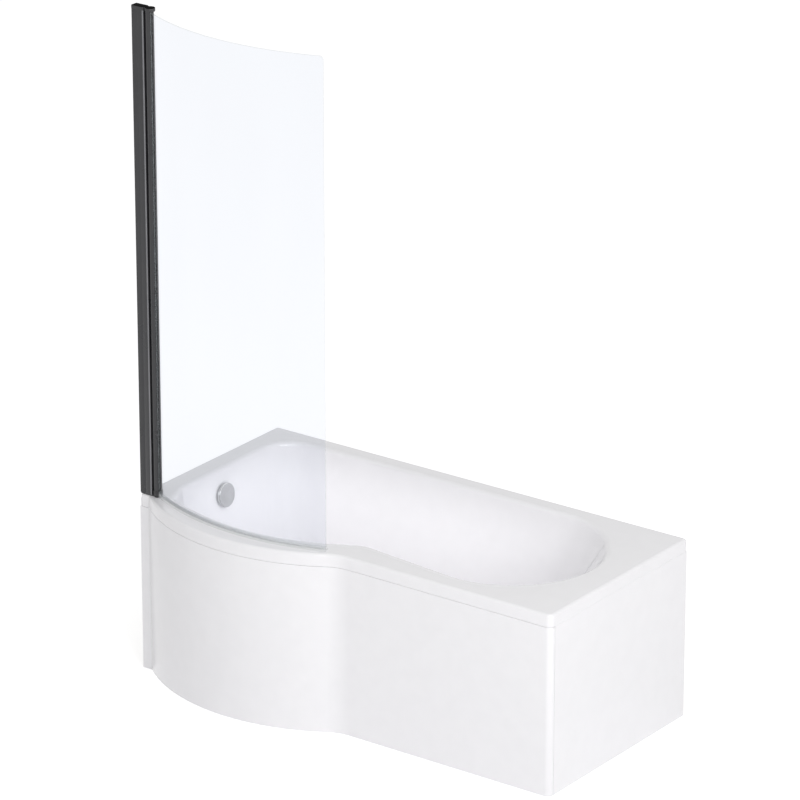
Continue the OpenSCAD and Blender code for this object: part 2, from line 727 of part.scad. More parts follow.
// Ribbed hose: a straight drop, a quarter bend and a straight run to the waste
bend_r = 46;
rib_pitch = 6;
rib_h = 2.5;
hose_drop = hose_top - inlet_z - bend_r;
hose_run = at(waste_x, 0).x - body_r - 4 - hose_x - bend_r;
module at_bend() { translate([hose_x + bend_r, hose_y, inlet_z + bend_r]) children(); }
module hose_path(d, past) {
    at_bend() translate([-bend_r, 0, 0]) cylinder(d = d, h = hose_drop + past, $fn = 48);
    at_bend() translate([0, 0, -bend_r]) rotate([0, 90, 0]) cylinder(d = d, h = hose_run + past, $fn = 48);
    at_bend() rotate([90, 0, 0]) rotate([0, 0, 180]) rotate_extrude(angle = 90, $fn = 64)
        translate([bend_r, 0]) circle(d = d, $fn = 48);
}
module rib() { cylinder(d = hose_d, h = rib_pitch / 2, center = true, $fn = 48); }
module overflow_hose() {
    color(plastic) difference() {
        union() {
            hose_path(hose_d - 2 * rib_h, 0);
            for (z = [rib_pitch:rib_pitch:hose_drop - rib_pitch])
                at_bend() translate([-bend_r, 0, z]) rib();
            for (x = [rib_pitch:rib_pitch:hose_run - rib_pitch])
                at_bend() translate([x, 0, -bend_r]) rotate([0, 90, 0]) rib();
            for (a = [9:9:81])
                at_bend() rotate([0, -a, 0]) translate([-bend_r, 0, 0]) rib();
        }
        hose_path(hose_bore, 1);
    }
}
module hose_nut() { tube(hose_d + 7, hose_d + 0.6, 16); }
module hose_nuts() {
    color(plastic) {
        translate([hose_x, hose_y, hose_top - 14]) hose_nut();
        translate([at(waste_x, 0).x - body_r - 2, hose_y, inlet_z]) rotate([0, -90, 0]) hose_nut();
    }
}

// --- Screen ---
screen_top = rim_h + screen_h;
cap_h = 10;
channel_low = rim_h + 4.5;
channel_top = screen_top - cap_h;
post_gap = 2.2;
pivot_x = channel_w + channel_d / 2 + post_gap;
pivot_depth = strip_w - channel_d / 2;
pivot = at(pivot_x, pivot_depth);
glass_run = glass_apex_x - pivot_x;
glass_rise = bulge_w - glass_inset - pivot_depth;
glass_r = (glass_run ^ 2 + glass_rise ^ 2) / (2 * glass_rise);
glass_centre = at(glass_apex_x, bulge_w - glass_inset - glass_r);
// Angles along the glass from straight ahead, negative to the pivot
pivot_a = -asin(glass_run / glass_r);
function along(l) = pivot_a + l / glass_r * 180 / PI;
glass_in_post = 7;
glass_from = along(glass_in_post);
glass_to = asin((glass_end_x - glass_apex_x) / glass_r);
glass_low = rim_h + 8;
glass_top = channel_top - 3;
gasket_t = 1.5;
gasket_gap = 0.15;
function on_arc(r, a) = glass_centre + r * [sin(a), -cos(a)];
// A curved wall between two radii and two angles about the centre of the glass
module glass_wall(r_in, r_out, from, to, low, high) {
    translate([0, 0, low]) linear_extrude(high - low) intersection() {
        translate(glass_centre) difference() {
            circle(r = r_out, $fn = 360);
            circle(r = r_in, $fn = 360);
        }
        polygon([glass_centre, for (a = [from, (from + to) / 2, to]) on_arc(2 * glass_r, a)]);
    }
}
module at_pivot(z = 0) { translate([pivot.x, pivot.y, z]) children(); }
// The slot of the post points along the glass as it leaves the pivot
slot_a = (pivot_a + along((glass_in_post + channel_d / 2) / 2)) / 2;
module at_slot() { at_pivot() rotate([0, 0, slot_a]) children(); }

channel_front = at(0, strip_w).y;
channel_round = 4;
// A plan of the channel's width and depth with its two front corners rounded
module channel_plan(over = 0) {
    r = channel_round;
    translate([end_x, channel_front]) {
        translate([0, r - over]) square([channel_w + over, channel_d + 2 * over - r]);
        translate([r, -over]) square([channel_w + over - 2 * r, channel_d]);
        for (x = [r, channel_w + over - r]) translate([x, r - over]) circle(r = r, $fn = 64);
    }
}
// Three holes through the web of the channel, for the wall screws
wall_hole_d = 5;
wall_hole_pitch = 650;
channel_middle = (channel_low + channel_top) / 2;
module wall_channel() {
    w = profile_wall;
    color(black) difference() {
        translate([0, 0, channel_low]) linear_extrude(channel_top - channel_low) difference() {
            channel_plan();
            translate([end_x + w, channel_front + w]) square([channel_w, channel_d - 2 * w]);
        }
        for (k = [-1:1])
            translate([end_x - 1, channel_front + channel_d / 2, channel_middle + k * wall_hole_pitch])
                rotate([0, 90, 0]) cylinder(d = wall_hole_d, h = w + 2, $fn = 32);
        adjuster_screw_holes();
    }
}
adjuster_w = 23;
adjuster_d = channel_d - 2 * profile_wall - 0.4;
module adjuster_profile() {
    w = profile_wall;
    low = [end_x + channel_w - adjuster_w, channel_front + (channel_d - adjuster_d) / 2, channel_low];
    color(black) difference() {
        block(low, low + [adjuster_w, adjuster_d, channel_top - channel_low]);
        block(low + [w, w, -1], low + [adjuster_w - w, adjuster_d - w, channel_top]);
        adjuster_screw_holes();
    }
}
adjuster_screw_l = 2 * profile_wall + 3;
module at_adjuster_screws() {
    for (k = [-1:1])
        translate([end_x + channel_w - adjuster_w / 2, channel_front + channel_d,
                   channel_middle + k * wall_hole_pitch])
            rotate([90, 0, 0]) children();
}
module adjuster_screw_holes() { at_adjuster_screws() screw_hole(adjuster_screw_l); }
module adjuster_screws() { color(black) at_adjuster_screws() screw(adjuster_screw_l); }
// Plan of the parts over and under the channel: a neck joins it to a round lobe at the post
neck_w = 17;
module joined_plan(over, lobe_r, lobe_shift) {
    channel_plan(over);
    translate([end_x + channel_w / 2, pivot.y - neck_w / 2]) square([pivot_x - channel_w / 2, neck_w]);
    translate(pivot) rotate([0, 0, slot_a]) translate([lobe_shift, 0]) circle(r = lobe_r, $fn = 96);
}
cap_over = 0.7;
lobe_r = channel_d / 2 + 2.5;
lobe_shift = 4;
module top_cap() {
    color(black) difference() {
        translate([0, 0, channel_top]) linear_extrude(cap_h)
            joined_plan(cap_over, lobe_r, lobe_shift);
        at_pivot(channel_top - 1) cylinder(d = pin_d + 0.1, h = cap_h - 2, $fn = 48);
    }
}
pin_reach = 26;
module top_pivot_pin() {
    color(zinc) at_pivot(channel_top - pin_reach)
        cylinder(d = pin_d, h = pin_reach + cap_h - 3.2, $fn = 48);
}
bracket_h = channel_low - rim_h;
bracket_inset = 3;
module bottom_bracket() {
    color(black) difference() {
        translate([0, 0, rim_h]) linear_extrude(bracket_h) joined_plan(-bracket_inset, channel_d / 2, 0);
        at_pivot(rim_h + 1) cylinder(d = pin_d + 0.1, h = bracket_h, $fn = 48);
    }
}
cam_h = 7.5;
post_low = channel_low + 2 * cam_h + 0.3;
module bottom_pivot_pin() {
    color(zinc) at_pivot(rim_h + 1.2) cylinder(d = pin_d, h = post_low + pin_reach - rim_h - 1.2, $fn = 48);
}
// A ring of the pivot's foot, with a groove round it that shows as a line
cam_r = channel_d / 2 + 1.5;
module cam(z, bore) {
    r = cam_r;
    color(black) at_pivot(z) rotate_extrude($fn = 64) polygon([
        [bore, 0], [r - 0.5, 0], [r, 0.5], [r, 3], [r - 1, 3.6], [r, 4.2], [r, cam_h - 0.5],
        [r - 0.5, cam_h], [bore, cam_h]]);
}
module lower_cam() { cam(channel_low, pin_d / 2 + 0.05); }
module upper_cam() { cam(post_low - cam_h, pin_d / 2 + running); }
post_top = channel_top - 0.3;
slot_bottom = glass_in_post - gasket_t;
module pivot_profile() {
    color(black) at_slot() translate([0, 0, post_low]) linear_extrude(post_top - post_low) difference() {
        circle(d = channel_d, $fn = 96);
        circle(d = pin_d + 2 * running, $fn = 48);
        translate([slot_bottom, -glass_t / 2 - gasket_t])
            square([channel_d, glass_t + 2 * gasket_t]);
    }
}
module glass_gasket() {
    inner = glass_t + 2 * gasket_gap;
    color(rubber) at_slot() translate([0, 0, post_low]) linear_extrude(glass_top - post_low)
        difference() {
            translate([slot_bottom, -glass_t / 2 - gasket_t])
                square([channel_d / 2 - 0.8 - slot_bottom, glass_t + 2 * gasket_t]);
            translate([glass_in_post - gasket_gap, -inner / 2]) square([channel_d, inner]);
        }
}
glass_corner_r = 14;
// The round cuts the top and the free edge at a slight angle, 0.3 mm inside the sharp corner
module corner_cutter() {
    inset = glass_corner_r - 0.3;
    translate(concat(glass_centre, [glass_top])) rotate([0, 0, glass_to - 90]) rotate([90, 0, 90])
        translate([-inset, -inset, glass_r - 2 * glass_t]) linear_extrude(4 * glass_t) difference() {
            square(2 * glass_corner_r);
            circle(r = glass_corner_r, $fn = 48);
        }
}
module screen_glass() {
    color([0.85, 0.9, 0.92, 0.35]) difference() {
        glass_wall(glass_r - glass_t / 2, glass_r + glass_t / 2, glass_from, glass_to,
                   glass_low, glass_top);
        corner_cutter();
        // The foot of the glass is cut back round the cams
        at_pivot(glass_low - 1) cylinder(r = cam_r + 0.6, h = post_low - glass_low + 1.3, $fn = 96);
    }
}
seal_side = 2;
seal_fin = 15;
seal_h = 16;
module bottom_seal() {
    r_in = glass_r - glass_t / 2;
    r_out = glass_r + glass_t / 2;
    from = along(cam_r + 0.6);
    color([0.75, 0.77, 0.78]) {
        glass_wall(r_out + 0.1, r_out + seal_side, from, glass_to, rim_h + 1, rim_h + seal_h);
        glass_wall(r_in - seal_side, r_in - 0.1, from, glass_to, rim_h + 1, rim_h + seal_h);
        glass_wall(r_in - seal_side, r_out + seal_side, from, glass_to, rim_h + 1, glass_low - 0.1);
        glass_wall(r_in - seal_side - seal_fin, r_in - seal_side + 0.01, from, glass_to,
                   rim_h + 1, rim_h + 3);
    }
}

bath_shell();
baseboard();
rim_batten_back();
rim_batten_front();
rim_batten_end();
front_panel();
front_panel_strips();
end_panel();
end_panel_strips();
panel_brackets();
panel_screws();
wall_brackets();
bracket_screws();
leg_rail_1();
leg_rail_2();
rail_screws();
centre_foot_plate();
foot_nuts();
foot_stud(0);  // foot_stud_1
foot_stud(1);  // foot_stud_2
foot_stud(2);  // foot_stud_3
foot_stud(3);  // foot_stud_4
foot_stud(4);  // foot_stud_5
foot_pad(0);  // foot_pad_1
foot_pad(1);  // foot_pad_2
foot_pad(2);  // foot_pad_3
foot_pad(3);  // foot_pad_4
foot_pad(4);  // foot_pad_5
waste_flange();
waste_plug();
plug_seal();
plug_stem();
plug_spring();
waste_seal_upper();
waste_seal_lower();
waste_body();
trap_nut();
trap_body();
overflow_cover();
overflow_seal();
overflow_body();
overflow_hose();
hose_nuts();
wall_channel();
adjuster_profile();
adjuster_screws();
top_cap();
top_pivot_pin();
bottom_bracket();
bottom_pivot_pin();
lower_cam();
upper_cam();
pivot_profile();
glass_gasket();
screen_glass();
bottom_seal();
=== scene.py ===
import math
import bmesh
import bpy
from mathutils import Euler, Matrix, Vector


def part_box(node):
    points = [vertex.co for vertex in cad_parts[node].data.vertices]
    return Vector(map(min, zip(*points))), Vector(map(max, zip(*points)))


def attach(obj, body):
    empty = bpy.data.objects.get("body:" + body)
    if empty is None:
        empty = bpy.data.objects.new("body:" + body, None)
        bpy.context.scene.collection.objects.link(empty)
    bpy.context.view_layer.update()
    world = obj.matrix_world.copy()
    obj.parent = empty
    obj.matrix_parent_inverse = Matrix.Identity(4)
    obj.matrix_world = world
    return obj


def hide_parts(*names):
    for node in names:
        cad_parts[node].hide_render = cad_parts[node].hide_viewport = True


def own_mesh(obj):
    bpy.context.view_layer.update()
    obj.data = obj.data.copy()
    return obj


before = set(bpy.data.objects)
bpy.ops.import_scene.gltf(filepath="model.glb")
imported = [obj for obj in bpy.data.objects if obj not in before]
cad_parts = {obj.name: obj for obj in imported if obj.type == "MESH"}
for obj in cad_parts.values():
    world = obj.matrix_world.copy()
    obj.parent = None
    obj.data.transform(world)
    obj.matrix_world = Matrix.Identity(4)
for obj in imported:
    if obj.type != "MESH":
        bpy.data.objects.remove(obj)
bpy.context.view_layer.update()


# --- Bath shell ---
# One sheet of white acrylic, drawn by vacuum into the mould of the tub and backed with
# sprayed resin and glass strand. The rim rolls over to a lip that hangs all round.
# Plan places are distances from the shower end wall and from the back wall, in metres.
bath_l = 1.500
narrow_w = 0.697
bulge_w = 0.803
strip_w = 0.669
rim_h = 0.565
well_depth = 0.400
shell_t = 0.005
crown_x = 0.411
crease_x = 0.032
waist_r = 0.135
lip_h = 0.039
lip_t = 0.004
rim_edge_r = 0.009
rim_roll = 0.014
back_rim = 0.058
end_rim = 0.071
crown_rim = 0.103
waist_rim = 0.105
front_rim = 0.055
end_run = 0.048
side_run = 0.052
foot_rim = 0.099
backrest_run = 0.272
foot_curve = 0.070
wall_corner_r = rim_edge_r + 0.001
front_corner_r = 0.018
floor_z = rim_h - well_depth
tip_depth = 0.54 * narrow_w


def at(x, y):
    """A place on the plan, from its distances to the shower end wall and to the back wall."""
    return Vector((x - bath_l / 2, bulge_w / 2 - y))


end_x = at(0, 0).x
foot_x = at(bath_l, 0).x


def turned(v, angle):
    """A vector on the plan, turned by an angle."""
    c = math.cos(angle)
    s = math.sin(angle)
    return Vector((v.x * c - v.y * s, v.x * s + v.y * c))


# A corner that turns less than this, in radians, is drawn as a straight
straight_turn = 0.0002


def corner(before, tip, after, radius, steps):
    """Stations round one corner of an outline that runs clockwise: place and outward normal."""
    u = (tip - before).normalized()
    v = (after - tip).normalized()
    turn = math.atan2(u.x * v.y - u.y * v.x, u.dot(v))
    normal = Vector((-u.y, u.x))
    if abs(turn) < straight_turn:
        return [(tip + u * radius * (2 * i / steps - 1), normal) for i in range(steps + 1)]
    side = -1 if turn > 0 else 1
    start = tip - u * radius * math.tan(abs(turn) / 2)
    centre = start - side * radius * normal
    normals = [turned(normal, turn * i / steps) for i in range(steps + 1)]
    return [(centre + side * radius * n, n) for n in normals]


def steps_to(count):
    """Equal shares from 0 to 1."""
    return [i / count for i in range(count + 1)]


# How finely each of the eight corners of an outline is divided, and each straight between them
corner_steps = [20, 24, 16, 24, 24, 72, 12, 12]
straight_steps = 6


def outline(tips):
    """Stations all round an outline, from the tips and radii of its eight corners."""
    corners = []
    for k, steps in enumerate(corner_steps):
        tip, radius = tips[k]
        corners.append(corner(tips[k - 1][0], tip, tips[(k + 1) % len(tips)][0], radius, steps))
    for k, round_part in enumerate(corners):
        following = corners[(k + 1) % len(corners)]
        start, normal = round_part[-1]
        end = following[0][0]
        if (end - start).dot(Vector((normal.y, -normal.x))) < 0:
            round_part[-1] = (start.lerp(end, 0.5), normal)
            following[0] = round_part[-1]
    stations = []
    for k, round_part in enumerate(corners):
        start, normal = round_part[-1]
        end = corners[(k + 1) % len(corners)][0][0]
        stations += round_part
        stations += [(start.lerp(end, q), normal) for q in steps_to(straight_steps)[1:-1]]
    return stations


def corner_start(k):
    """The first station of a corner of an outline."""
    return sum(corner_steps[:k]) + k * straight_steps


def crown_tip(x, y, r, left, right):
    """Where the tangents at the two ends of a bulge meet."""
    d = r / math.cos((left + right) / 2)
    a = (right - left) / 2
    return at(x + d * math.sin(a), y - r + d * math.cos(a))


def waist_tip(x, y, r, right, line_y):
    """Where the tangent at the right end of a bulge crosses a line at depth line_y."""
    drop = y - r + r * math.cos(right) - line_y
    return at(x + r * math.sin(right) + drop / math.tan(right), line_y)


def level(stations, out, z):
    """The outline moved out by a distance, at a height."""
    return [Vector((p.x + n.x * out, p.y + n.y * out, z)) for p, n in stations]


def mixed(a, b, share):
    """A ring at a share of the way from one ring to another."""
    return [p.lerp(q, share) for p, q in zip(a, b)]


def curved(a, b, c, share):
    """A ring on a curve that leaves a towards b and arrives at c."""
    return mixed(mixed(a, b, share), mixed(b, c, share), share)


bulge_r = ((crown_x - crease_x) ** 2 + (bulge_w - strip_w) ** 2) / (2 * (bulge_w - strip_w))
bulge_left = math.acos((strip_w - bulge_w + bulge_r) / bulge_r)
bulge_right = math.acos((narrow_w + waist_r - bulge_w + bulge_r) / (bulge_r + waist_r))
crease_r = 0.003
crease_ease = math.radians(0.3)
rim_line = outline([
    (at(0, 0), wall_corner_r),
    (at(bath_l, 0), wall_corner_r),
    (at(bath_l, narrow_w / 2), narrow_w / 6),
    (at(bath_l, narrow_w), front_corner_r),
    (waist_tip(crown_x, bulge_w, bulge_r, bulge_right, narrow_w), waist_r),
    (crown_tip(crown_x, bulge_w, bulge_r, bulge_left - crease_ease, bulge_right), bulge_r),
    (at(crease_x, strip_w), crease_r),
    (at(0, strip_w), wall_corner_r),
])
well_crown_r = bulge_r + 0.037
well_left = math.radians(16)
mouth_right = math.radians(27)
floor_right = math.radians(20)
mouth_front = narrow_w - waist_rim
mouth_crown = bulge_w - crown_rim

# The front corner of the well at the shower end is cut off at a slant, which makes two corners
well_corner_y = mouth_crown - 0.053
corner_lean = 0.036
floor_corner_lean = 0.034
corner_cut = 0.088
mouth_waist_r = 0.090
floor_waist_r = 0.150
floor_corner_r = 0.080

# The foot end of the mouth is a half round, drawn by three wide corners
foot_round = 0.274
foot_turn = math.radians(40)
round_x = bath_l - foot_rim - foot_round
round_y = (back_rim + narrow_w - front_rim) / 2
shoulder_x = round_x + (foot_round - (round_y - back_rim) * math.sin(foot_turn)) / math.cos(foot_turn)
foot_corner_r = foot_round - 0.002
mouth_line = outline([
    (at(end_rim, back_rim), 0.105),
    (at(shoulder_x, back_rim), foot_corner_r),
    (at(round_x + foot_round / math.cos(foot_turn), round_y), foot_corner_r),
    (at(shoulder_x, narrow_w - front_rim), foot_corner_r),
    (waist_tip(crown_x, mouth_crown, well_crown_r, mouth_right, mouth_front), mouth_waist_r),
    (crown_tip(crown_x, mouth_crown, well_crown_r, well_left, mouth_right), well_crown_r),
    (at(end_rim + corner_lean, well_corner_y), 0.046),
    (at(end_rim, well_corner_y - corner_cut), 0.060),
])
basin_x = end_rim + end_run
floor_foot = bath_l - foot_rim - backrest_run
back_shoulder = 0.060
front_shoulder = 0.055
floor_back = back_rim + side_run
floor_crown = mouth_crown - 1.35 * side_run
floor_front = mouth_front - side_run / 2
floor_line = outline([
    (at(basin_x, floor_back), 0.095),
    (at(floor_foot - back_shoulder, floor_back), 0.125),
    (at(floor_foot, tip_depth), 0.150),
    (at(floor_foot - front_shoulder, narrow_w - front_rim - side_run), 0.130),
    (waist_tip(crown_x, floor_crown, well_crown_r, floor_right, floor_front), floor_waist_r),
    (crown_tip(crown_x, floor_crown, well_crown_r, well_left, floor_right), well_crown_r),
    (at(basin_x + floor_corner_lean, well_corner_y - side_run), floor_corner_r),
    (at(basin_x, well_corner_y - corner_cut - side_run / 2), floor_corner_r),
])


def well_rings(out):
    """The well from its floor up to the rim, out by one thickness for the underside."""
    foot = level(floor_line, out, floor_z - out)
    top = level(mouth_line, out, rim_h - out)
    inner = level(floor_line, out - foot_curve, floor_z - out)
    rise = mixed(foot, top, foot_curve / well_depth)
    brim = mixed(top, foot, rim_roll / well_depth)
    wall = [mixed(rise, brim, q) for q in steps_to(16)[1:-1]]
    return [curved(inner, foot, rise, q) for q in steps_to(16)] + wall


def roll_rings():
    """The brim, rolled over from the wall of the well to the flat of the rim."""
    edge = level(mouth_line, 0, rim_h)
    under = mixed(edge, level(floor_line, 0, floor_z), rim_roll / well_depth)
    over = level(mouth_line, rim_roll, rim_h)
    return [curved(under, edge, over, q) for q in steps_to(10)]


def edge_rings():
    """The outer edge of the rim, rounded down to the lip."""
    rings = []
    for q in steps_to(8):
        a = q * math.pi / 2
        inset = rim_edge_r * (1 - math.sin(a))
        rings.append(level(rim_line, -inset, rim_h - rim_edge_r * (1 - math.cos(a))))
    return rings


def skin(rings, loop=False):
    """Corners and faces of a closed skin through rings; loop joins the last ring to the first."""
    n = len(rings[0])
    count = len(rings)
    faces = []
    for k in range(count if loop else count - 1):
        a = k * n
        b = (k + 1) % count * n
        faces += [(a + i, a + (i + 1) % n, b + (i + 1) % n, b + i) for i in range(n)]
    if not loop:
        faces.append(tuple(range(n - 1, -1, -1)))
        faces.append(tuple((count - 1) * n + i for i in range(n)))
    return [p for ring in rings for p in ring], faces


def add_object(name, data):
    """An object of the scene that shows a mesh, or holds a lamp or a camera."""
    obj = bpy.data.objects.new(name, data)
    bpy.context.scene.collection.objects.link(obj)
    return obj


def mesh_of(build, name):
    """A new mesh with the shape that was built."""
    mesh = bpy.data.meshes.new(name)
    build.to_mesh(mesh)
    build.free()
    return mesh


# Corners of a mesh closer than this are one
weld = 0.000001


def make_piece(name, corners, faces, finish, body, nodes=(), crease=30):
    """A mesh piece that moves with a body and stands for CAD nodes. Edges sharper than crease show."""
    mesh = bpy.data.meshes.new(name)
    mesh.from_pydata([tuple(c) for c in corners], [], faces)
    build = bmesh.new()
    build.from_mesh(mesh)
    bmesh.ops.remove_doubles(build, verts=build.verts, dist=weld)
    bmesh.ops.recalc_face_normals(build, faces=build.faces)
    build.to_mesh(mesh)
    build.free()
    mesh.shade_smooth()
    mesh.set_sharp_from_angle(angle=math.radians(crease))
    mesh.materials.append(finish)
    obj = add_object(name, mesh)
    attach(obj, body)
    if nodes:
        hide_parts(*nodes)
    return obj


def paint(r, g, b):
    """A colour given as 0 to 255 on a screen, as linear light."""
    channels = []
    for value in (r, g, b):
        c = value / 255
        channels.append(c / 12.92 if c <= 0.04045 else ((c + 0.055) / 1.055) ** 2.4)
    return (*channels, 1.0)


def new_finish(name):
    """An empty material with a principled shader, and the coordinates of the piece itself."""
    material = bpy.data.materials.new(name)
    material.use_nodes = True
    tree = material.node_tree
    tree.nodes.clear()
    output = tree.nodes.new("ShaderNodeOutputMaterial")
    shader = tree.nodes.new("ShaderNodeBsdfPrincipled")
    place = tree.nodes.new("ShaderNodeTexCoord")
    tree.links.new(shader.outputs["BSDF"], output.inputs["Surface"])
    return material, tree, shader, place.outputs["Object"]


def noise(tree, place, size, detail=3.0, stretch=(1, 1, 1)):
    """Noise whose lumps are about size metres across, drawn out along an axis where stretch is small."""
    mapping = tree.nodes.new("ShaderNodeMapping")
    mapping.inputs["Scale"].default_value = stretch
    node = tree.nodes.new("ShaderNodeTexNoise")
    node.inputs["Scale"].default_value = 1 / size
    node.inputs["Detail"].default_value = detail
    tree.links.new(place, mapping.inputs["Vector"])
    tree.links.new(mapping.outputs["Vector"], node.inputs["Vector"])
    return node.outputs["Fac"]


def spread(tree, fac, low, high, start=0.3, end=0.7):
    """Noise drawn out from low to high."""
    node = tree.nodes.new("ShaderNodeMapRange")
    node.inputs["From Min"].default_value = start
    node.inputs["From Max"].default_value = end
    node.inputs["To Min"].default_value = low
    node.inputs["To Max"].default_value = high
    tree.links.new(fac, node.inputs["Value"])
    return node.outputs["Result"]


def cells(tree, place, per_metre):
    """Irregular cells: two tones picked for each cell, and the distance from its middle."""
    node = tree.nodes.new("ShaderNodeTexVoronoi")
    node.inputs["Scale"].default_value = per_metre
    tree.links.new(place, node.inputs["Vector"])
    split = tree.nodes.new("ShaderNodeSeparateColor")
    tree.links.new(node.outputs["Color"], split.inputs["Color"])
    return split.outputs["Red"], split.outputs["Green"], node.outputs["Distance"]


def two_tones(tree, fac, dark, pale, start=0.3, end=0.7):
    """The colours of a dark and a pale paint, mixed by noise."""
    node = tree.nodes.new("ShaderNodeValToRGB")
    node.color_ramp.elements[0].position = start
    node.color_ramp.elements[0].color = dark
    node.color_ramp.elements[1].position = end
    node.color_ramp.elements[1].color = pale
    tree.links.new(fac, node.inputs["Fac"])
    return node.outputs["Color"]


def bumped(tree, shader, fac, height):
    """Relief of about height metres."""
    node = tree.nodes.new("ShaderNodeBump")
    node.inputs["Distance"].default_value = height
    tree.links.new(fac, node.inputs["Height"])
    tree.links.new(node.outputs["Normal"], shader.inputs["Normal"])


def plain_finish(name, dark, pale, rough, lump, relief, metallic=0.0, coat=0.0):
    """A moulded, sprayed or plated finish: two close tones, uneven gloss and a fine relief."""
    material, tree, shader, place = new_finish(name)
    cloudy = noise(tree, place, lump * 12)
    fine = noise(tree, place, lump, 2.0)
    tree.links.new(two_tones(tree, cloudy, dark, pale), shader.inputs["Base Color"])
    tree.links.new(spread(tree, cloudy, rough[0], rough[1]), shader.inputs["Roughness"])
    shader.inputs["Metallic"].default_value = metallic
    shader.inputs["Coat Weight"].default_value = coat
    shader.inputs["Coat Roughness"].default_value = 0.08
    bumped(tree, shader, fine, relief)
    return material


acrylic = plain_finish("white_acrylic", paint(250, 249, 251), paint(252, 251, 253),
                       (0.10, 0.16), 0.004, 0.000004, coat=0.3)


def strand_finish():
    """Sprayed resin with chopped glass strand, rough and slightly yellow."""
    material, tree, shader, place = new_finish("resin_and_glass_strand")
    strand = cells(tree, place, 160)[2]
    patches = noise(tree, place, 0.06)
    blobs = noise(tree, place, 0.009, 5.0)
    tree.links.new(two_tones(tree, patches, paint(206, 200, 178), paint(228, 224, 208)),
                   shader.inputs["Base Color"])
    tree.links.new(spread(tree, strand, 0.35, 0.75, 0.0, 0.8), shader.inputs["Roughness"])
    bumped(tree, shader, blobs, 0.0012)
    return material


resin = strand_finish()
rim_underside = [
    level(rim_line, 0, rim_h - lip_h),
    level(rim_line, -lip_t, rim_h - lip_h),
    level(rim_line, -lip_t, rim_h - shell_t),
    level(mouth_line, shell_t, rim_h - shell_t),
]
show_rings = well_rings(0) + roll_rings() + edge_rings()
hidden_rings = rim_underside + well_rings(shell_t)[::-1]
shell_corners, shell_faces = skin(show_rings + hidden_rings)
bath = make_piece("acrylic_bath", shell_corners, shell_faces, acrylic, "bath", ["bath_shell"])

# The resin covers the hidden side: the underside of the well and of the rim, behind the lip
bath.data.materials.append(resin)
outside = bmesh.new()
outside.from_mesh(bath.data)
for face in outside.faces:
    middle = face.calc_center_median()
    hidden = face.normal.z < -0.02 and middle.z < rim_h - shell_t / 2
    if hidden and abs(middle.z - rim_h + lip_h) > 0.001:
        face.material_index = 1
outside.to_mesh(bath.data)
outside.free()

# The waste and overflow holes, cut after forming
waste_x = 0.240
waste_y = 0.370
waste_hole_d = 0.052
overflow_drop = 0.084
end_lean = math.atan(end_run / well_depth)
waste_place = Vector((*at(waste_x, waste_y), 0))
overflow_x = end_x + end_rim + end_run * overflow_drop / well_depth
overflow_place = Vector((overflow_x, waste_place.y, rim_h - overflow_drop))
overflow_turn = Matrix.Rotation(math.pi / 2 - end_lean, 4, "Y")


def round_cutter(radius, length, place, turn=Matrix.Identity(4)):
    """A cylinder to cut with, its middle at a place and its axis along Z before the turn."""
    build = bmesh.new()
    bmesh.ops.create_cone(build, cap_ends=True, segments=64, radius1=radius, radius2=radius,
                          depth=length, matrix=Matrix.Translation(place) @ turn)
    return add_object("cutter", mesh_of(build, "cutter"))


def cut_away(obj, cutter):
    """Cuts the cutter's shape out of a piece for good."""
    modifier = obj.modifiers.new("cut", "BOOLEAN")
    modifier.object = cutter
    modifier.solver = "EXACT"
    shaped = bpy.data.meshes.new_from_object(obj.evaluated_get(bpy.context.evaluated_depsgraph_get()))
    obj.modifiers.clear()
    obj.data = shaped
    bpy.data.objects.remove(cutter)


cut_away(bath, round_cutter(waste_hole_d / 2, 4 * shell_t, waste_place + Vector((0, 0, floor_z))))
cut_away(bath, round_cutter(waste_hole_d / 2, 0.060, overflow_place, overflow_turn))

# --- Front panel ---
# One long moulding of the same acrylic, bent round the bulge, the waist and the foot end
# corner. Its top edge folds in and stands up as a tongue behind the lip of the bath.
panel_t = 0.004
seam = 0.0015
tongue_h = 0.024
tongue_in = lip_t + 0.0003
return_w = 0.020
panel_top = rim_h - lip_h - seam
foot_flange = front_corner_r - 0.002
soft_edge = 0.0012
first_front = corner_start(3)
last_front = corner_start(7)


def rounded_section(points, radius, steps=3):
    """A closed section (x, z) with each of its corners rounded."""
    rounded = []
    for k, tip in enumerate(points):
        tip = Vector(tip)
        before = Vector(points[k - 1])
        after = Vector(points[(k + 1) % len(points)])
        room = min((before - tip).length, (after - tip).length) / 2
        r = min(radius, room)
        start = tip + (before - tip).normalized() * r
        end = tip + (after - tip).normalized() * r
        for q in steps_to(steps):
            rounded.append(start.lerp(tip, q).lerp(tip.lerp(end, q), q))
    return rounded


def along_line(section, stations):
    """Rings of a section carried along stations: x is the distance inside the line, y the height."""
    return [[Vector((p.x - n.x * s.x, p.y - n.y * s.x, s.y)) for s in section] for p, n in stations]


def front_stations():
    """The run of the front panel: from its return at the foot end, along the rim, to the wall."""
    start = (Vector((foot_x, at(0, narrow_w - return_w).y)), Vector((1, 0)))
    end = (Vector((end_x, at(0, strip_w).y)), Vector((0, -1)))
    return [start] + rim_line[first_front:last_front] + [end]


def panel_section(top):
    """Across a panel: a flange on the floor, the face, and a fold and tongue behind the lip."""
    return rounded_section([
        (0, 0), (foot_flange, 0), (foot_flange, panel_t), (panel_t, panel_t),
        (panel_t, top - panel_t), (tongue_in + panel_t, top - panel_t),
        (tongue_in + panel_t, top + tongue_h), (tongue_in, top + tongue_h), (tongue_in, top), (0, top),
    ], soft_edge)


front_rings = along_line(panel_section(panel_top), front_stations())
front_corners, front_faces = skin(front_rings)
front = make_piece("front_panel_moulding", front_corners, front_faces, acrylic, "bath", ["front_panel"])

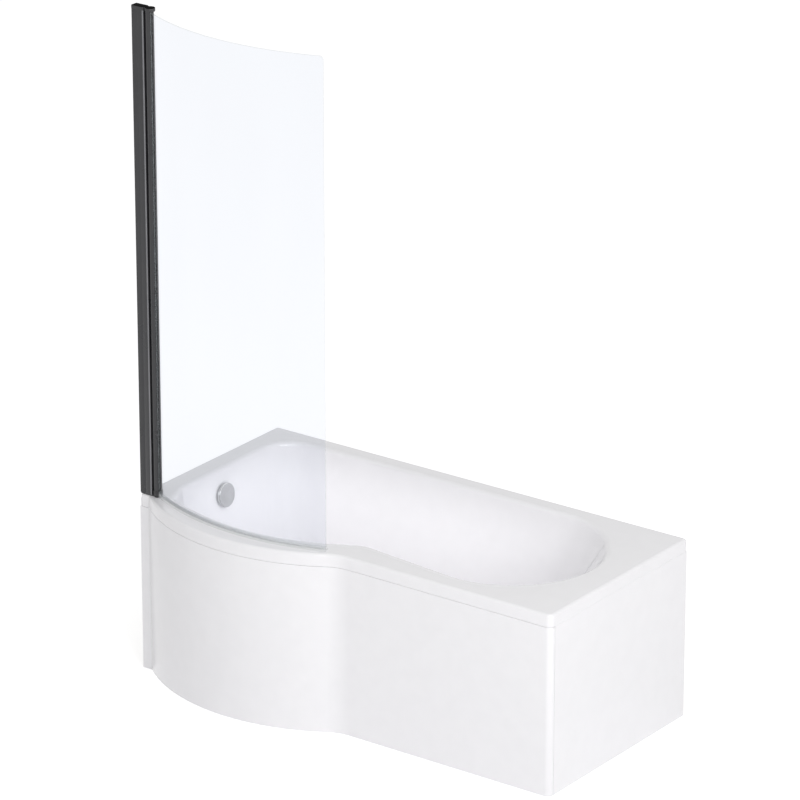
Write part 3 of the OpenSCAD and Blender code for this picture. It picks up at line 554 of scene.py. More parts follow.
# --- End panel ---
# The flat moulding that closes the foot end. It meets the return of the front panel at a
# fine seam, has the same folded edges, and is pushed up until it all but meets the lip.
end_panel_back = 0.003
end_panel_front = narrow_w - return_w - seam
end_stations = [(at(bath_l, y), Vector((1, 0))) for y in (end_panel_back, end_panel_front)]
end_seam = 0.0004
end_section = panel_section(rim_h - lip_h - end_seam)
end_corners, end_faces = skin(along_line(end_section, end_stations))
end = make_piece("end_panel_moulding", end_corners, end_faces, acrylic, "bath", ["end_panel"])

# --- Baseboard ---
# A thick chipboard panel laid into the resin under the floor of the well, so that the legs
# have something to screw to. Its sawn edge shows the chips.


sharp_edge = math.radians(35)


def softened(node, name, finish, body, radius):
    """A piece with the shape of a CAD node, but with its sharp edges eased as handled parts have."""
    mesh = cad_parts[node].data.copy()
    mesh.name = name
    mesh.materials.clear()
    mesh.materials.append(finish)
    build = bmesh.new()
    build.from_mesh(mesh)
    bmesh.ops.remove_doubles(build, verts=build.verts, dist=weld)
    bmesh.ops.dissolve_limit(build, angle_limit=math.radians(1), verts=build.verts, edges=build.edges)
    edges = [e for e in build.edges
             if len(e.link_faces) == 2 and e.calc_face_angle(0) > sharp_edge]
    bmesh.ops.bevel(build, geom=edges, offset=radius, segments=2, profile=0.5,
                    affect="EDGES", clamp_overlap=True)
    bmesh.ops.recalc_face_normals(build, faces=build.faces)
    for face in build.faces:
        face.material_index = 0
    build.to_mesh(mesh)
    build.free()
    mesh.shade_smooth()
    mesh.set_sharp_from_angle(angle=math.radians(30))
    obj = add_object(name, mesh)
    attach(obj, body)
    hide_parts(node)
    return obj


def chipboard_finish():
    """Pressed chips of wood, each with its own tone and gloss."""
    material, tree, shader, place = new_finish("chipboard")
    tone, gloss, edge = cells(tree, place, 260)
    tree.links.new(two_tones(tree, tone, paint(176, 140, 94), paint(214, 184, 138), 0, 1),
                   shader.inputs["Base Color"])
    tree.links.new(spread(tree, gloss, 0.6, 0.85, 0, 1), shader.inputs["Roughness"])
    bumped(tree, shader, edge, 0.0006)
    return material


chipboard = chipboard_finish()
softened("baseboard", "chipboard_base", chipboard, "bath", 0.0008)

# --- Rim battens and panel strips ---
# Planed softwood, bonded up under the rim and glued behind the panels with resin, to
# stiffen them and to give the screws a hold.


def wood_finish(name, along):
    """Softwood with its grain along an axis: drawn-out rings, fine fibre and a few darker bands."""
    stretch = [1.0, 1.0, 1.0]
    stretch[along] = 0.04
    material, tree, shader, place = new_finish(name)
    bands = noise(tree, place, 0.012, 4.0, stretch)
    fibre = noise(tree, place, 0.0016, 2.0, stretch)
    both = tree.nodes.new("ShaderNodeMath")
    both.operation = "MULTIPLY_ADD"
    both.inputs[1].default_value = 0.35
    tree.links.new(fibre, both.inputs[0])
    tree.links.new(bands, both.inputs[2])
    tones = two_tones(tree, both.outputs["Value"], paint(190, 148, 98), paint(226, 194, 146), 0.5, 0.85)
    tree.links.new(tones, shader.inputs["Base Color"])
    tree.links.new(spread(tree, bands, 0.55, 0.75), shader.inputs["Roughness"])
    bumped(tree, shader, fibre, 0.0003)
    return material


wood_along_x = wood_finish("softwood_along_the_bath", 0)
wood_along_y = wood_finish("softwood_across_the_bath", 1)
for node, wood in (("rim_batten_back", wood_along_x), ("rim_batten_front", wood_along_x),
                   ("rim_batten_end", wood_along_y), ("front_panel_strips", wood_along_x),
                   ("end_panel_strips", wood_along_y)):
    softened(node, "wood_" + node, wood, "bath", 0.0012)

# --- Leg rails, brackets and plate ---
# Pressed steel with bright zinc plating: two channels across the baseboard, the plate for
# the middle foot, the angles behind the panels and the angles that tie the rim to the wall.


def zinc_finish():
    """Zinc plate: large pale spangles, a slight blue tone and fine brushing."""
    material, tree, shader, place = new_finish("bright_zinc")
    tone, gloss = cells(tree, place, 140)[:2]
    fine = noise(tree, place, 0.0012, 3.0)
    tree.links.new(two_tones(tree, tone, paint(176, 180, 184), paint(206, 209, 212), 0, 1),
                   shader.inputs["Base Color"])
    tree.links.new(spread(tree, gloss, 0.28, 0.46, 0, 1), shader.inputs["Roughness"])
    shader.inputs["Metallic"].default_value = 1.0
    bumped(tree, shader, fine, 0.00003)
    return material


zinc = zinc_finish()
for node in ("leg_rail_1", "leg_rail_2", "centre_foot_plate", "panel_brackets", "wall_brackets"):
    softened(node, "zinc_" + node, zinc, "bath", 0.0005)

# --- Screws ---
# Zinc plated pan head screws with a cross recess. One is turned from a profile, its recess is
# cut, and it is set at every place where the assembly has a screw.


def lathed(section, steps=48):
    """Corners and faces of a closed section (radius, height) turned about the Z axis."""
    rings = []
    for i in range(steps):
        a = 2 * math.pi * i / steps
        rings.append([Vector((p.x * math.cos(a), p.x * math.sin(a), p.y)) for p in section])
    return skin(rings, loop=True)


def set_at(shape, turn):
    """A shape moved and turned by a matrix."""
    corners, faces = shape
    return [turn @ Vector(c) for c in corners], faces


def joined(shapes):
    """Several shapes as one list of corners and one of faces."""
    corners = []
    faces = []
    for some_corners, some_faces in shapes:
        first = len(corners)
        corners += some_corners
        faces += [tuple(first + i for i in face) for face in some_faces]
    return corners, faces


def loose_parts(node):
    """The corners of each separate solid of a CAD node."""
    build = bmesh.new()
    build.from_mesh(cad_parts[node].data)
    bmesh.ops.remove_doubles(build, verts=build.verts, dist=weld)
    left = set(build.verts)
    parts = []
    while left:
        reach = [left.pop()]
        part = []
        while reach:
            corner_found = reach.pop()
            part.append(corner_found.co.copy())
            for edge in corner_found.link_edges:
                other = edge.other_vert(corner_found)
                if other in left:
                    left.remove(other)
                    reach.append(other)
        parts.append(part)
    build.free()
    return parts


head_r = 0.0040
head_h = 0.0025
recess_w = 0.0009
shank_r = 0.0020


def turned_screw(length):
    """A screw driven along +Z from the origin, with its head below."""
    section = rounded_section([
        (0, -head_h), (head_r * 0.7, -head_h), (head_r, -head_h * 0.4), (head_r, 0),
        (shank_r, 0), (shank_r, length - shank_r), (0, length),
    ], 0.0005)
    corners, faces = lathed(section, 32)
    blank = make_piece("screw_blank", corners, faces, zinc, "bath")
    for turn in (0, math.pi / 2):
        build = bmesh.new()
        size = Matrix.Diagonal((head_r * 1.1, recess_w, head_h, 1))
        sunk = Matrix.Translation((0, 0, -head_h))
        bmesh.ops.create_cube(build, size=1, matrix=sunk @ Matrix.Rotation(turn, 4, "Z") @ size)
        cut_away(blank, add_object("recess", mesh_of(build, "recess")))
    shape = ([v.co.copy() for v in blank.data.vertices], [tuple(f.vertices) for f in blank.data.polygons])
    bpy.data.objects.remove(blank)
    return shape


def screw_frame(part):
    """Where a screw's head meets what it holds, its direction and its length."""
    low = Vector([min(c[i] for c in part) for i in range(3)])
    high = Vector([max(c[i] for c in part) for i in range(3)])
    span = high - low
    axis = max(range(3), key=lambda i: span[i])
    middle = (low + high) / 2
    side = (axis + 1) % 3
    wide = [c[axis] for c in part if abs(c[side] - middle[side]) > head_r * 0.9]
    way = Vector((0, 0, 0))
    way[axis] = 1 if sum(wide) / len(wide) < middle[axis] else -1
    foot = middle - way * (span[axis] / 2 - head_h)
    turn = way.to_track_quat("Z", "Y").to_matrix().to_4x4()
    return Matrix.Translation(foot) @ turn, span[axis] - head_h


def screws_for(node, finish):
    """Turned screws for the plain ones of a CAD node."""
    shapes = []
    for part in loose_parts(node):
        turn, length = screw_frame(part)
        shapes.append(set_at(turned_screw(round(length, 5)), turn))
    corners, faces = joined(shapes)
    piece = make_piece("cross_head_" + node, corners, faces, finish, "bath", [node])


for node in ("panel_screws", "bracket_screws", "rail_screws"):
    screws_for(node, zinc)

# --- Feet ---
# Five zinc plated studs, cut with a full thread, each locked by hexagon nuts and standing in
# a moulded pad. They are set by turning, to level the bath.
stud_r = 0.006
thread_pitch = 0.00175
thread_depth = 0.0009
nut_h = 0.010
nut_corner = 0.0108
thread_play = 0.00008
foot_numbers = range(1, 6)


def threaded_rod(radius, low, high, steps=24):
    """A rod with a helical thread from low to high on the Z axis."""
    levels = 4
    crest = (radius, radius, radius - thread_depth, radius - thread_depth)
    turns = int((high - low) / thread_pitch) + 2
    rings = []
    for k in range(turns * levels):
        ring = []
        for i in range(steps):
            a = 2 * math.pi * i / steps
            z = low + ((k - levels) / levels + i / steps) * thread_pitch
            z = min(max(z, low), high)
            r = crest[k % levels]
            ring.append(Vector((r * math.cos(a), r * math.sin(a), z)))
        rings.append(ring)
    # The thread runs on from the end of one turn to the next, so the seam steps up by one turn
    corners = [p for ring in rings for p in ring]
    faces = []
    for k in range(len(rings) - 1):
        a = k * steps
        faces += [(a + i, a + i + 1, a + i + 1 + steps, a + i + steps) for i in range(steps - 1)]
        if k + levels + 1 < len(rings):
            jump = a + levels * steps
            faces.append((a + steps - 1, jump, jump + steps, a + 2 * steps - 1))
    return corners, faces


def hexagon_nut(corner_r, height, bore_r, steps=48):
    """A hexagon nut standing on the origin, its corners chamfered to a circle at both faces."""
    flat_r = corner_r * math.cos(math.pi / 6)
    slopes = steps_to(3)
    levels = []
    for q in slopes:
        levels.append((q * (corner_r - flat_r) * 0.6, flat_r + q * (corner_r - flat_r)))
    levels += [(height - z, r) for z, r in reversed(levels)]
    levels += [(height, bore_r), (0, bore_r)]
    rings = []
    for i in range(steps):
        a = 2 * math.pi * i / steps
        side = (a + math.pi / 6) % (math.pi / 3) - math.pi / 6
        hexagon = flat_r / math.cos((a % (math.pi / 3)) - math.pi / 6)
        ring = []
        for z, r in levels:
            r = min(r, hexagon) if r > bore_r else bore_r
            ring.append(Vector((r * math.cos(a), r * math.sin(a), z)))
        rings.append(ring)
    return skin(rings, loop=True)


foot_plastic = plain_finish("black_foot_plastic", paint(34, 34, 36), paint(44, 44, 46),
                            (0.45, 0.6), 0.0008, 0.00004)
for k in foot_numbers:
    stud = f"foot_stud_{k}"
    low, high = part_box(stud)
    middle = (low + high) / 2
    corners, faces = threaded_rod(stud_r, low.z, high.z)
    place = Matrix.Translation((middle.x, middle.y, 0))
    corners, faces = set_at((corners, faces), place)
    rod = make_piece(f"threaded_stud_{k}", corners, faces, zinc, f"foot_{k}", [stud], 50)

nut_shapes = []
for part in loose_parts("foot_nuts"):
    middle = sum(part, Vector()) / len(part)
    bottom = min(c.z for c in part)
    nut = hexagon_nut(nut_corner, nut_h, stud_r + thread_play)
    nut_shapes.append(set_at(nut, Matrix.Translation((middle.x, middle.y, bottom))))
corners, faces = joined(nut_shapes)
nuts = make_piece("hexagon_nuts", corners, faces, zinc, "bath", ["foot_nuts"])

pad_r = 0.023
pad_h = 0.022
hub_r = stud_r + 0.005
socket_r = stud_r + 0.0001
sole_r = pad_r - 0.004
sole_h = 0.0012
for k in foot_numbers:
    pad = f"foot_pad_{k}"
    low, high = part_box(pad)
    middle = (low + high) / 2
    section = rounded_section([
        (0, 0), (sole_r, 0), (sole_r, sole_h), (pad_r, sole_h), (pad_r, 0.005),
        (hub_r + 0.002, 0.011), (hub_r, 0.013), (hub_r, pad_h), (socket_r, pad_h),
        (socket_r, 0.010), (0, 0.010),
    ], 0.0012)
    corners, faces = set_at(lathed(section), Matrix.Translation((middle.x, middle.y, 0)))
    foot = make_piece(f"moulded_pad_{k}", corners, faces, foot_plastic, f"foot_{k}", [pad])

# --- Wall channel and its adjuster ---
# Extruded aluminium with a matt black powder coat. The channel is screwed to the wall and
# opens to the post. The box profile in it slides out to take up an uneven wall.
channel_w = 0.044
channel_d = 0.025
channel_round = 0.004
profile_wall = 0.002
cap_h = 0.010
cam_h = 0.0075
pin_r = 0.004
screen_h = 1.510
channel_low = rim_h + 0.0045
screen_top = rim_h + screen_h
channel_top = screen_top - cap_h
channel_front = at(0, strip_w).y
wall_hole_r = 0.0025
wall_hole_pitch = 0.650
channel_middle = (channel_low + channel_top) / 2


def upright(section, place, low, high, turn=0.0, ease=0.0003):
    """Rings of a section (x, y) stood on end at a place on the plan, with its end edges eased."""
    rings = []
    middle = sum(section, Vector((0, 0))) / len(section)
    for z, inset in ((low, ease), (low + ease, 0), (high - ease, 0), (high, ease)):
        ring = []
        for p in section:
            inward = (middle - p).normalized() * inset
            q = place + turned(p + inward, turn)
            ring.append(Vector((q.x, q.y, z)))
        rings.append(ring)
    return rings


def arc_points(centre, radius, start, stop, steps):
    """Points (x, y) on a circle from one angle in degrees to another."""
    points = []
    for q in steps_to(steps):
        a = math.radians(start + (stop - start) * q)
        points.append(centre + Vector((radius * math.cos(a), radius * math.sin(a))))
    return points


def powder_coat(name, dark, pale):
    """Matt powder coat: a fine pebbled skin, with soft clouds in its sheen."""
    material, tree, shader, place = new_finish(name)
    pebbles = noise(tree, place, 0.0008, 2.0)
    clouds = noise(tree, place, 0.08)
    tree.links.new(two_tones(tree, clouds, dark, pale), shader.inputs["Base Color"])
    tree.links.new(spread(tree, clouds, 0.26, 0.34), shader.inputs["Roughness"])
    bumped(tree, shader, pebbles, 0.00002)
    return material


def straight(*points):
    """Points of a section that straight lines join."""
    return [Vector(point) for point in points]


powder_black = powder_coat("black_powder_coat", paint(44, 44, 47), paint(50, 50, 52))
groove_x = channel_w / 2
groove_half = 0.001
groove_depth = 0.0004
inner_y = channel_d - profile_wall
channel_section = (
    straight((0, channel_d))
    + arc_points(Vector((channel_round, channel_round)), channel_round, 180, 270, 10)
    + straight((groove_x - groove_half, 0), (groove_x, groove_depth), (groove_x + groove_half, 0))
    + arc_points(Vector((channel_w - channel_round, channel_round)), channel_round, 270, 330, 8)
    + straight((profile_wall, profile_wall), (profile_wall, inner_y), (channel_w, inner_y),
               (channel_w, channel_d))
)
corners, faces = skin(upright(channel_section, Vector((end_x, channel_front)), channel_low, channel_top))
channel = make_piece("wall_channel_extrusion", corners, faces, powder_black, "bath", ["wall_channel"])
across = Matrix.Rotation(math.pi / 2, 4, "Y")
for k in (-1, 0, 1):
    hole = Vector((end_x, channel_front + channel_d / 2, channel_middle + k * wall_hole_pitch))
    cut_away(channel, round_cutter(wall_hole_r, 0.010, hole, across))
# A lighter coat on the rounded front edge beside the post: a painted highlight, standing in for the light
# line that edge catches
channel.data.materials.append(powder_coat("painted_highlight_powder_coat", paint(122, 122, 125), paint(134, 134, 137)))
for face in channel.data.polygons:
    if face.center.x > end_x + channel_w - channel_round and face.normal.y < -0.45:
        face.material_index = 1

softened("adjuster_profile", "sliding_profile", powder_black, "bath", 0.0004)

# --- Pivot post ---
# A round extrusion turns on steel pins in the cap and in the bracket. A slot along it holds
# the edge of the glass in a rubber gasket.
post_gap = 0.0022
pivot = at(channel_w + channel_d / 2 + post_gap, strip_w - channel_d / 2)
post_r = channel_d / 2
post_play = 0.0003
post_low = channel_low + 2 * cam_h + post_play
post_top = channel_top - post_play
glass_t = 0.006
glass_apex = at(0.433, bulge_w - 0.051)
glass_end_x = 0.713
glass_in_post = 0.007
gasket_t = 0.0015
slot_half = glass_t / 2 + gasket_t
glass_run = glass_apex.x - pivot.x
glass_rise = pivot.y - glass_apex.y
glass_r = (glass_run ** 2 + glass_rise ** 2) / (2 * glass_rise)
glass_centre = glass_apex + Vector((0, glass_r))
pivot_a = -math.asin(glass_run / glass_r)
slot_a = pivot_a + (glass_in_post + post_r) / 4 / glass_r

lip_a = math.degrees(math.asin((slot_half + post_play) / post_r))
slot_floor = glass_in_post - gasket_t
lip_x = post_r * math.cos(math.radians(lip_a)) - 0.0002
post_section = (
    arc_points(Vector((0, 0)), post_r, lip_a, 360 - lip_a, 96)
    + straight((lip_x, -slot_half), (slot_floor, -slot_half), (slot_floor, slot_half),
               (lip_x, slot_half))
)
corners, faces = skin(upright(post_section, pivot, post_low, post_top, slot_a, 0.0002))
post = make_piece("pivot_post_extrusion", corners, faces, powder_black, "screen", ["pivot_profile"])
cut_away(post, round_cutter(pin_r + 0.00008, 2 * screen_h, Vector((*pivot, channel_middle))))

# --- Gasket ---
# A soft black U of rubber along the edge of the glass, pressed into the slot.
rubber = plain_finish("black_rubber", paint(28, 28, 29), paint(38, 38, 39), (0.5, 0.7), 0.0007, 0.00003)
softened("glass_gasket", "edge_gasket", rubber, "screen", 0.0002)

# --- Top cap and bottom bracket ---
# Moulded black nylon. Both follow the plan of the channel, with a neck out to a round lobe
# at the post, and both hold a pin.
def node_of(material, kind):
    """The first node of a kind in a material."""
    return next(n for n in material.node_tree.nodes if n.type == kind)


nylon = plain_finish("black_nylon", paint(44, 44, 46), paint(52, 52, 54), (0.34, 0.44), 0.0008, 0.00002)
# A near black, dull nylon for the flat top of the cap: a painted shade, darker than the sides
painted_shade_nylon = plain_finish("painted_shade_black_nylon", paint(4, 4, 4), paint(8, 8, 8), (0.8, 0.9), 0.0008, 0.00002)
node_of(painted_shade_nylon, "BSDF_PRINCIPLED").inputs["Specular IOR Level"].default_value = 0.05
top_cap = softened("top_cap", "moulded_top_cap", nylon, "bath", 0.0008)
# Its flat top is dull, as from the mould, and painted near black: a painted shade that makes it darker than
# the sides
top_cap.data.materials.append(painted_shade_nylon)
for face in top_cap.data.polygons:
    if face.normal.z > 0.9:
        face.material_index = 1
softened("bottom_bracket", "moulded_bottom_bracket", nylon, "bath", 0.0005)

# --- Pivot pins and cams ---
# Ground steel pins. The two rings at the foot of the post rise on each other as the screen
# swings, which lifts the seal clear of the rim.
for node in ("top_pivot_pin", "bottom_pivot_pin"):
    softened(node, "ground_" + node, zinc, "bath", 0.0005)

cam_r = post_r + 0.0015
cam_neck_r = cam_r - 0.001
for node, body, low, bore in (("lower_cam", "bath", channel_low, pin_r + 0.00005),
                              ("upper_cam", "screen", post_low - cam_h, pin_r + 0.0003)):
    section = rounded_section([
        (bore, 0), (cam_r, 0), (cam_r, 0.0030), (cam_neck_r, 0.0034), (cam_neck_r, 0.0038),
        (cam_r, 0.0042), (cam_r, cam_h), (bore, cam_h),
    ], 0.0005)
    ring = set_at(lathed(section, 72), Matrix.Translation((*pivot, low)))
    cam = make_piece("grooved_" + node, *ring, nylon, body, [node])

screws_for("adjuster_screws", nylon)

# --- Glass ---
# Toughened glass, bent to a gentle curve, with its edges ground and polished. Its top free
# corner is rounded and its foot is cut back round the cams.
glass_low = rim_h + 0.008
glass_top = channel_top - 0.003
glass_corner_r = 0.011
edge_ease = 0.0006
pane_steps = 120


def along(distance):
    """The angle at a distance along the glass from the pivot."""
    return pivot_a + distance / glass_r


def on_arc(radius, angle):
    """The place on the plan at an angle and at a distance from the centre of the curve."""
    return glass_centre + radius * Vector((math.sin(angle), -math.cos(angle)))


def spaced(start, stop, steps):
    """Equal steps from one angle to another."""
    return [start + (stop - start) * q for q in steps_to(steps)]


glass_from = along(glass_in_post)
glass_to = math.asin((glass_end_x - (glass_apex.x - end_x)) / glass_r)


def glass_ring(angle, low, high, half, ease):
    """The section of the pane at an angle: its thickness across, with its edges eased."""
    section = [(half - ease, low), (half, low + ease), (half, high - ease), (half - ease, high),
               (ease - half, high), (-half, high - ease), (-half, low + ease), (ease - half, low)]
    ring = []
    for offset, z in section:
        p = on_arc(glass_r + offset, angle)
        ring.append(Vector((p.x, p.y, z)))
    return ring


def glass_pane():
    """The pane from the post to its free edge: cut back at the foot, rounded at the top."""
    half = glass_t / 2
    notch = along(cam_r + 0.0008)
    tip_r = glass_corner_r
    far = glass_to - tip_r / glass_r
    rings = [glass_ring(a, post_low + 0.0003, glass_top, half, edge_ease)
             for a in (glass_from, notch)]
    for a in spaced(notch + 0.00001, far, pane_steps):
        rings.append(glass_ring(a, glass_low, glass_top, half, edge_ease))
    for q in steps_to(12)[1:]:
        turn = q * math.pi / 2
        a = far + (tip_r * math.sin(turn) - edge_ease * q) / glass_r
        z = glass_top - tip_r * (1 - math.cos(turn))
        rings.append(glass_ring(a, glass_low, z, half, edge_ease))
    rings.append(glass_ring(glass_to, glass_low + edge_ease, glass_top - tip_r, half - edge_ease, 0.0001))
    return skin(rings)


def clear_glass():
    """Glass that lets the light of lamps straight through, barely green, with a thin sheen."""
    material, tree, shader, place = new_finish("toughened_glass")
    shader.inputs["Base Color"].default_value = (1, 1, 1, 1)
    shader.inputs["Metallic"].default_value = 1.0
    streaks = noise(tree, place, 0.15, 2.0, (1, 1, 0.2))
    tree.links.new(spread(tree, streaks, 0.01, 0.05), shader.inputs["Roughness"])
    bumped(tree, shader, streaks, 0.00002)
    through = tree.nodes.new("ShaderNodeBsdfTransparent")
    tree.links.new(two_tones(tree, streaks, (0.940, 0.949, 0.965, 1), (0.946, 0.955, 0.971, 1)),
                   through.inputs["Color"])
    facing = tree.nodes.new("ShaderNodeLayerWeight")
    facing.inputs["Blend"].default_value = 0.5
    steep = tree.nodes.new("ShaderNodeMath")
    steep.operation = "POWER"
    steep.inputs[1].default_value = 5.0
    sheen = tree.nodes.new("ShaderNodeMapRange")
    sheen.inputs["To Min"].default_value = 0.01
    sheen.inputs["To Max"].default_value = 0.5
    mix = tree.nodes.new("ShaderNodeMixShader")
    output = node_of(material, "OUTPUT_MATERIAL")
    tree.links.new(facing.outputs["Facing"], steep.inputs[0])
    tree.links.new(steep.outputs["Value"], sheen.inputs["Value"])
    tree.links.new(sheen.outputs["Result"], mix.inputs["Fac"])
    tree.links.new(through.outputs["BSDF"], mix.inputs[1])
    tree.links.new(shader.outputs["BSDF"], mix.inputs[2])
    tree.links.new(mix.outputs["Shader"], output.inputs["Surface"])
    return material


def see_through(name, dark, pale, rough, share):
    """A milky material: a share of it is open, the rest is paint."""
    material, tree, shader, place = new_finish(name)
    clouds = noise(tree, place, 0.02)
    fine = noise(tree, place, 0.0015, 2.0)
    tree.links.new(two_tones(tree, clouds, dark, pale), shader.inputs["Base Color"])
    tree.links.new(spread(tree, clouds, rough[0], rough[1]), shader.inputs["Roughness"])
    tree.links.new(spread(tree, clouds, share[0], share[1]), shader.inputs["Alpha"])
    bumped(tree, shader, fine, 0.00002)
    return material


glass_finish = clear_glass()
glass_edge = see_through("polished_glass_edge", paint(200, 206, 206), paint(214, 220, 220),
                         (0.08, 0.14), (0.26, 0.34))
pane = make_piece("curved_pane", *glass_pane(), glass_finish, "screen", ["screen_glass"])
pane.data.materials.append(glass_edge)
for face in pane.data.polygons:
    middle = face.center
    from_centre = (Vector((middle.x, middle.y)) - glass_centre).length
    if abs(from_centre - glass_r) < glass_t / 2 - edge_ease / 4:
        face.material_index = 1

# --- Bottom seal ---
# A clear PVC extrusion pushed on the foot of the glass, with a fin that lies along the rim
# inside the screen and turns the water back into the bath.
seal_side = 0.0020
seal_fin = 0.015
seal_play = 0.0001
seal_low = rim_h + 0.001
seal_high = rim_h + 0.016
pocket = glass_t / 2 + seal_play
pocket_low = glass_low - seal_play
seal_out = glass_t / 2 + seal_side
fin_top = rim_h + 0.003
fin_tip_t = 0.0012
seal_section = rounded_section([
    (seal_out, seal_low), (seal_out, seal_high), (pocket, seal_high), (pocket, pocket_low),
    (-pocket, pocket_low), (-pocket, seal_high), (-seal_out, seal_high), (-seal_out, fin_top),
    (-seal_out - seal_fin, seal_low + fin_tip_t), (-seal_out - seal_fin, seal_low),
], 0.0006)
seal_rings = []
for a in spaced(along(cam_r + 0.0006), glass_to, pane_steps):
    ring = []
    for s in seal_section:
        p = on_arc(glass_r + s.x, a)
        ring.append(Vector((p.x, p.y, s.y)))
    seal_rings.append(ring)
clear_pvc = see_through("clear_pvc", paint(240, 243, 244), paint(246, 248, 249), (0.16, 0.24), (0.16, 0.24))
strip = make_piece("fin_seal", *skin(seal_rings), clear_pvc, "screen", ["bottom_seal"])

# --- Waste flange, plug and seals ---
# The chromed brass flange sits in the floor of the well on a rubber ring and screws into the
# body below. The plug clicks down and up on a sprung brass stem.
flange_r = 0.035
flange_t = 0.0025
tail_r = 0.0225
tail_bore_r = tail_r - 0.003
tail_low = floor_z - 0.030
flange_low = floor_z + 0.001
flange_top = flange_low + flange_t
grid_t = 0.004
grid_h = 0.005
grid_top = tail_low + grid_h
hub_bore_r = 0.0043
grid_hub_r = 0.007
grid_round = 0.0006


def chrome_finish():
    """Bright chrome: an even mirror with faint polishing lines and thumbed patches."""
    material, tree, shader, place = new_finish("bright_chrome")
    patches = noise(tree, place, 0.030)
    lines = noise(tree, place, 0.0009, 2.0, (1, 1, 0.1))
    tree.links.new(two_tones(tree, patches, paint(198, 199, 199), paint(210, 211, 211)),
                   shader.inputs["Base Color"])
    tree.links.new(spread(tree, patches, 0.05, 0.10), shader.inputs["Roughness"])
    shader.inputs["Metallic"].default_value = 1.0
    bumped(tree, shader, lines, 0.000003)
    return material


chrome = chrome_finish()
to_waste = Matrix.Translation(waste_place)
flange_shape = lathed(rounded_section([
    (tail_bore_r, flange_top - 0.0014), (tail_r, flange_top), (flange_r - 0.003, flange_top),
    (flange_r, flange_low), (tail_r, flange_low), (tail_r, tail_low), (tail_bore_r, tail_low),
], 0.0007), 96)


def spoke(low, high):
    """One arm of the grid, from the hub to the tail."""
    half = grid_t / 2
    section = rounded_section([(-half, low), (half, low), (half, high), (-half, high)], grid_round)
    return skin([[Vector((x, p.x, p.y)) for p in section] for x in (0.0062, tail_r - 0.0015)])


grid = [lathed(rounded_section([
    (hub_bore_r, tail_low), (grid_hub_r, tail_low), (grid_hub_r, grid_top), (hub_bore_r, grid_top),
], 0.0005))]
for k in range(4):
    grid.append(set_at(spoke(tail_low, grid_top), Matrix.Rotation(k * math.pi / 2, 4, "Z")))
shape = set_at(joined([flange_shape] + grid), to_waste)
flange = make_piece("chrome_waste_flange", *shape, chrome, "bath", ["waste_flange"])

plug_r = 0.030
plug_travel = 0.009
plug_low = flange_top + plug_travel + 0.0014
shape = lathed(rounded_section([
    (0, plug_low), (plug_r - 0.002, plug_low), (plug_r, plug_low + 0.0012),
    (plug_r - 0.0015, plug_low + 0.0028), (plug_r / 2, plug_low + 0.0044), (0, plug_low + 0.005),
], 0.0008, 5), 96)
plug = make_piece("chrome_click_plug", *set_at(shape, to_waste), chrome, "plug", ["waste_plug"])

for node, body in (("plug_seal", "plug"), ("waste_seal_upper", "bath"), ("waste_seal_lower", "bath")):
    softened(node, "rubber_" + node, rubber, body, 0.0002)

brass = plain_finish("turned_brass", paint(176, 146, 84), paint(196, 166, 104), (0.22, 0.34), 0.0009,
                     0.00001, metallic=1.0)
softened("plug_stem", "turned_plug_stem", brass, "plug", 0.0003)

# The spring stands round the stem and is pressed together when the plug goes down
wire_r = 0.0006
coil_r = 0.006
coils = 6


def wound_spring(low, high, steps=32, sides=10):
    """A round wire wound in a helix on the Z axis."""
    rings = []
    for i in range(coils * steps + 1):
        a = 2 * math.pi * i / steps
        z = low + (high - low) * i / (coils * steps)
        ring = []
        for b in range(sides):
            t = 2 * math.pi * b / sides
            r = coil_r + wire_r * math.cos(t)
            ring.append(Vector((r * math.cos(a), -r * math.sin(a), z + wire_r * math.sin(t))))
        rings.append(ring)
    return skin(rings)


spring_low, spring_high = (p.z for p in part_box("plug_spring"))
shape = set_at(wound_spring(spring_low + wire_r, spring_high - wire_r), to_waste)
spring = make_piece("wound_spring", *shape, zinc, "bath", ["plug_spring"])
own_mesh(spring)

# --- Waste body, trap and nut ---
# Moulded white polypropylene. The body hangs from the flange, takes the overflow hose on a
# side branch, and the trap is held to it by a big ribbed nut.
trap_bore_r = 0.0237
rib_depth = 0.0012
white_plastic = plain_finish("white_polypropylene", paint(226, 226, 222), paint(236, 236, 233),
                             (0.34, 0.5), 0.0010, 0.00003)
for node in ("waste_body", "trap_body"):
    softened(node, "moulded_" + node, white_plastic, "bath", 0.0006)


def ribbed_nut(inner_r, outer_r, height, ribs):
    """A hand nut standing on the origin: a ring with ribs round it and its edges rounded."""
    rings = []
    steps = ribs * 8
    for i in range(steps):
        a = 2 * math.pi * i / steps
        out = outer_r - rib_depth * (1 - max(0, math.sin(ribs * a)) ** 0.5)
        ring = []
        for r, z in ((inner_r, 0.0004), (inner_r + 0.0006, 0), (out - 0.0012, 0), (out, 0.0014),
                     (out, height - 0.0014), (out - 0.0012, height), (inner_r + 0.0006, height),
                     (inner_r, height - 0.0004)):
            ring.append(Vector((r * math.cos(a), r * math.sin(a), z)))
        rings.append(ring)
    return skin(rings, loop=True)


nut_low, nut_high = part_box("trap_nut")
nut_shape = ribbed_nut(trap_bore_r, (nut_high.x - nut_low.x) / 2, nut_high.z - nut_low.z, 12)
shape = set_at(nut_shape, Matrix.Translation((waste_place.x, waste_place.y, nut_low.z)))
trap_nut = make_piece("ribbed_trap_nut", *shape, white_plastic, "bath", ["trap_nut"])

